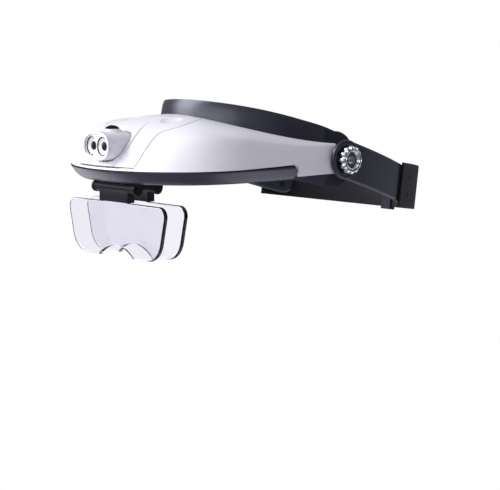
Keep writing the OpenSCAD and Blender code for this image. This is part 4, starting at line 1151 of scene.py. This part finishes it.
def lamp_reflector():
    """A bright plate with a dish for each diode and a skirt round its edge."""
    inset, skirt_t = LAMP_T + 0.15, 0.8
    half_w, half_h = LAMP_HALF_W - inset, LAMP_HALF_H - inset
    a = round_angles(72)
    holes = [points3(x + DISH_R * np.cos(a), DISH_R * DISH_TALL * np.sin(a)) for x in LED_X]
    face = plate_with_holes(oval(half_w, half_h, 0)[:, [0, 2]] - [0, LAMP_Z], holes, LAMP_FACE)
    skirt = loft([oval(half_w - d, half_h - d, LAMP_FACE + y) for d, y in
                  ((0, 0), (0, REFLECTOR_L), (skirt_t, REFLECTOR_L), (skirt_t, 0.05))], True)
    plate = piece("lamp_reflector_dishes", [face, *map(lamp_dish, LED_X), skirt], mirror_coat)
    plate.data.set_sharp_from_angle(angle=math.radians(40))
    fitted(plate, "lamp", "mirror_coat", "lamp_reflector")


def lamp_leds():
    """The diodes: a round tip on a barrel, with a flange at the back."""
    back, r = LAMP_FACE + REFLECTOR_L + FIT, LED_D / 2
    tip, flange_r = back - REFLECTOR_L + r, r + 0.4
    profile = [(0, back + 1), (flange_r, back + 1), (flange_r, back), (r, back), (r, tip)]
    profile += [(r * math.cos(a), tip - r * math.sin(a)) for a in np.linspace(0.1, math.pi / 2, 16)]
    leds = [turned(profile, (x, 0, LAMP_Z), "Y", 48) for x in LED_X]
    fitted(piece("lamp_diodes", leds, diode), "lamp", "diode_resin", "lamp_leds")


def lamp_window():
    inset, back = BEZEL_W + FIT, LAMP_FACE - BEZEL_T + 1.2
    line = ((0.3, 0.0), (0, -0.2), (0, -0.8), (0.3, -1.0), (3, -1.08), (6.5, -1.12))
    rings = [oval(LAMP_HALF_W - inset - d, LAMP_HALF_H - inset - d, back + y, 120) for d, y in line]
    pane = piece("lamp_window_pane", [loft(rings)], window_clear)
    fitted(pane, "lamp", "clear_acrylic", "lamp_window")


# Lens plates: a flat clear plate with rounded edges and a tongue in its clip

def arc(centre, r, a0, a1, n):
    a = np.radians(np.linspace(a0, a1, n))
    return [(centre[0] + r * math.cos(t), centre[1] + r * math.sin(t)) for t in a]


def plate_outline():
    """Right half from the nose arch round to the tongue, then its mirror image, as (x, z)."""
    top, low = PLATE_TOP_Z, PLATE_TOP_Z - PLATE_H
    upper = np.array([PLATE_HALF_W - TOP_CORNER, top - TOP_CORNER])
    lower = np.array([PLATE_HALF_W - PLATE_TAPER - PLATE_CORNER, low + PLATE_CORNER])
    d = upper - lower
    lean = math.degrees(math.atan2(d[1], d[0]) - math.acos((PLATE_CORNER - TOP_CORNER) / np.linalg.norm(d)))
    arch = math.degrees(math.acos((NOSE_R - ARCH_H) / NOSE_R))
    half = arc((0, low + ARCH_H - NOSE_R), NOSE_R, 90, 90 - arch + 3, 14)
    half += arc((half[-1][0] + 1.2, low + NOSE_CORNER), NOSE_CORNER, 200, 270, 4)
    half += [(x, low) for x in np.linspace(half[-1][0] + 1, lower[0] - 1, 12)]
    half += arc(lower, PLATE_CORNER, 270, 360 + lean, 24) + arc(upper, TOP_CORNER, lean, 90, 16)
    half += [(x, top) for x in np.linspace(upper[0] - 2, TONGUE_HALF + 1, 14)]
    half += arc((TONGUE_HALF + TONGUE_CORNER, top + TONGUE_CORNER), TONGUE_CORNER, 270, 180, 4)
    tongue_top = top + CLIP_H - BARREL_R
    half += arc((TONGUE_HALF - TONGUE_CORNER, tongue_top - TONGUE_CORNER), TONGUE_CORNER, 0, 90, 4)
    half += [(x, tongue_top) for x in np.linspace(TONGUE_HALF - 3, 0, 6)]
    half = np.array(half)
    return np.concatenate([half, (half * [-1, 1])[-2:0:-1]])


def lens_plate(name, y, body, node):
    """A plate whose edge is rounded, less so near the small corners of its arch and its tongue.

    Level rings inside the edge keep the shading of its two faces flat.
    """
    line = plate_outline()
    tangent = np.roll(line, -1, 0) - np.roll(line, 1, 0)
    inward = unit(np.stack([-tangent[:, 1], tangent[:, 0]], 1))
    middle = np.array([0, PLATE_TOP_Z - 0.45 * PLATE_H])
    half_t = PLATE_T / 2
    soft = 0.7 + 0.6 * ease((np.abs(line[:, 0]) - 24) / 8)
    front = [(line + inward * soft[:, None] * (1 - math.cos(a)), half_t - soft * (1 - math.sin(a)))
             for a in np.linspace(0, math.pi / 2, 6)]
    edge = front[-1][0]
    front += [(middle + (edge - middle) * f, half_t)
              for f in (0.97, 0.92, 0.84, 0.74, 0.62, 0.5, 0.38, 0.26, 0.14, 0.04)]
    rings = [points3(p[:, 0], -y - h, p[:, 1]) for p, h in front[::-1]]
    rings += [points3(p[:, 0], -y + h, p[:, 1]) for p, h in front]
    fitted(piece(name, [loft(rings)], acrylic), body, "clear_acrylic", node)


# Knobs

def knob(side):
    """A plated clamp knob with round lobes, a grooved face and a sunk middle."""
    a = round_angles(288)
    lobe = np.abs(np.cos(a * KNOB_LOBES / 2)) ** 0.8
    face, r = KNOB_X + KNOB_T, KNOB_R
    recess_x = face - KNOB_RECESS
    # Share of the lobes' depth, radius and place along the axis
    stations = [(1.0, r - 1.2, KNOB_X), (1.0, r - 0.3, KNOB_X + 0.5), (1.0, r, KNOB_X + 1.2),
                (1.0, r, face - 2.2), (1.0, r - 0.4, face - 1.2), (0.8, r - 1.1, face - 0.5),
                (0.5, r - 1.7, face - 0.12), (0.2, r - 2.1, face), (0, r - 2.3, face - 0.1),
                (0, r - 2.6, face - 1.3), (0, r - 3.3, face - 1.3), (0, r - 3.6, face - 0.3),
                (0, KNOB_RECESS_R + 0.1, face - 0.1),
                (0, KNOB_RECESS_R - 0.3, face - 0.5), (0, KNOB_RECESS_R - 0.5, recess_x),
                (0, STUD_HOLE_R, recess_x), (0, STUD_HOLE_R, KNOB_X)]
    rings = []
    for share, radius, x in stations:
        radius = radius - KNOB_LOBE_DEPTH * share * (1 - lobe)
        rings.append(points3(x, radius * np.cos(a), radius * np.sin(a)))
    part = loft(rings, True)
    obj = piece(side + "_knob_plated", [part if side == "left" else mirrored(part)], chrome)
    obj.data.set_sharp_from_angle(angle=math.radians(50))
    fitted(obj, side + "_knob", "knob_chrome", side + "_knob")


# Everything in its place

visor_shell()
centre_panel()
visor_rim()
forehead_band()
brow_pad()
strap_tab("left")
strap_tab("right")
rear_strap()
strap_rivets()
lamp_housing()
lamp_bezel()
lamp_reflector()
lamp_leds()
lamp_window()
lens_plate("front_lens_plate_clear", FRONT_HINGE_Y, "front_lens", "front_lens_plate")
lens_plate("rear_lens_plate_clear", FRONT_HINGE_Y - HINGE_PITCH, "rear_lens", "rear_lens_plate")
knob("left")
knob("right")
for node, body, slot, material, width in (
        ("lens_bracket", "visor", "black_plastic", black, 0.35),
        ("front_clip", "front_lens", "black_plastic", black, 0.35),
        ("rear_clip", "rear_lens", "black_plastic", black, 0.35),
        ("battery_tray", "visor", "tray_plastic", tray_black, 0.25),
        ("battery_door", "battery_door", "tray_plastic", tray_black, 0.15),
        ("strap_keeper", "rear_strap", "band_plastic", band_black, 0.35)):
    fitted(copy_of(node, node + "_moulding", material, width), body, slot, node)

for node, material in (
        ("pivot_studs", steel), ("friction_washers", washer_nylon), ("battery_cells", jacket),
        ("contact_plates", spring_steel), ("contact_springs", spring_steel), ("hinge_pins", black_steel),
        ("bracket_screws", steel), ("tray_screws", steel), ("lamp_lead", lead_red),
        ("circuit_board", board_green), ("tact_switch", black), ("lamp_pins", steel),
        ("power_button", button_rubber), ("button_spring", spring_steel)):
    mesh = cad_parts[node].data
    mesh.materials.clear()
    mesh.materials.append(material)


# The studio, in metres: a white room, a floor, cards that only reflections see, lamps and the camera

def background_seen(tree):
    """1 for rays that see the room straight or through clear plastic."""
    path = add(tree, "ShaderNodeLightPath")
    return reckon(tree, "MAXIMUM", path.outputs["Is Camera Ray"], path.outputs["Is Transmission Ray"])


def mixed(tree, common, seen):
    """One shader for most rays and one for those that see the background."""
    mix = add(tree, "ShaderNodeMixShader", Fac=background_seen(tree))
    tree.links.new(common.outputs[0], mix.inputs[1])
    tree.links.new(seen.outputs[0], mix.inputs[2])
    return mix.outputs[0]


def room():
    world = bpy.data.worlds.new("studio")
    bpy.context.scene.world = world
    world.use_nodes = True
    tree = world.node_tree
    soft = tree.nodes["Background"]
    soft.inputs["Color"].default_value = (0.88, 0.86, 1.0, 1)
    soft.inputs["Strength"].default_value = 0.3
    bright = add(tree, "ShaderNodeBackground", Color=WHITE)
    tree.links.new(mixed(tree, soft, bright), tree.nodes["World Output"].inputs["Surface"])


def floor():
    bpy.ops.mesh.primitive_plane_add(size=12, location=(0, 0, -0.36))
    plane = bpy.context.active_object
    plane.name = "floor"
    mat = bpy.data.materials.new("floor")
    mat.use_nodes = True
    tree = mat.node_tree
    tree.nodes.clear()
    matt = add(tree, "ShaderNodeBsdfDiffuse", Color=(0.85, 0.85, 0.86, 1))
    add(tree, "ShaderNodeOutputMaterial", Surface=mixed(tree, matt, add(tree, "ShaderNodeEmission")))
    plane.data.materials.append(mat)
    plane.visible_glossy = False


def facing_origin(place, front):
    """The turn that points an object's front at the origin."""
    return (-Vector(place)).to_track_quat(front, "Y").to_euler()


def card(name, place, size, strength):
    """A card that glossy surfaces reflect. With no strength it stays dark and keeps a side black."""
    mat, _, _ = surface(name, (0.01, 0.01, 0.012), 0.5, Emission_Color=WHITE, Emission_Strength=strength)
    bpy.ops.mesh.primitive_plane_add(size=1, location=place)
    plane = bpy.context.active_object
    plane.name = name
    plane.scale = (*size, 1)
    plane.rotation_euler = facing_origin(place, "Z")
    plane.data.materials.append(mat)
    plane.visible_camera = plane.visible_diffuse = plane.visible_shadow = plane.visible_transmission = False


def area_lamp(name, place, size, power):
    """A square lamp. The front one stays out of reflections and of what clear plastic shows."""
    light = bpy.data.lights.new(name, "AREA")
    light.energy, light.size = power, size
    obj = object_from(name, light)
    obj.location = place
    obj.rotation_euler = facing_origin(place, "-Z")
    obj.visible_glossy = obj.visible_transmission = name != "front"


def camera():
    """The photo's camera, with its place and lens worked out from the photo."""
    cam = bpy.data.cameras.new("camera")
    cam.sensor_width, cam.lens = 36.0, 110.592
    azimuth, elevation = math.radians(48.574), math.radians(7.220)
    obj = object_from("camera", cam)
    obj.location = (0.8898, -0.8012, 0.0798)
    back = Vector((math.sin(azimuth) * math.cos(elevation), -math.cos(azimuth) * math.cos(elevation),
                   math.sin(elevation)))
    obj.rotation_mode = "QUATERNION"
    obj.rotation_quaternion = (-back).to_track_quat("-Z", "Y")
    bpy.context.scene.camera = obj


room()
floor()
for name, place, size, strength in (
        ("card_right", (1.6, 1.2, 0.1), (0.8, 1.4), 0), ("card_left", (2.4, -0.2, 0.2), (0.5, 1.6), 0),
        ("card_low", (-0.62, -0.1, -0.34), (0.5, 0.5), 1.6),
        ("card_front", (0.42, -1.85, 0.45), (1.7, 0.7), 2.9),
        ("card_under", (0.2, 0.2, -0.345), (0.7, 0.5), 1.0)):
    card(name, place, size, strength)
for name, place, size, power in (
        ("key", (-1.15, -1.45, 1.2), 1.6, 46), ("top", (0.2, -0.6, 1.7), 1.2, 7.5),
        ("front", (-0.95, -1.65, 0.05), 1.6, 23), ("side", (1.5, -0.9, 0.5), 0.9, 0.4),
        ("back", (0.3, 1.6, 1.0), 1.0, 4)):
    area_lamp(name, place, size, power)
camera()
bpy.context.scene.view_settings.view_transform = "Standard"
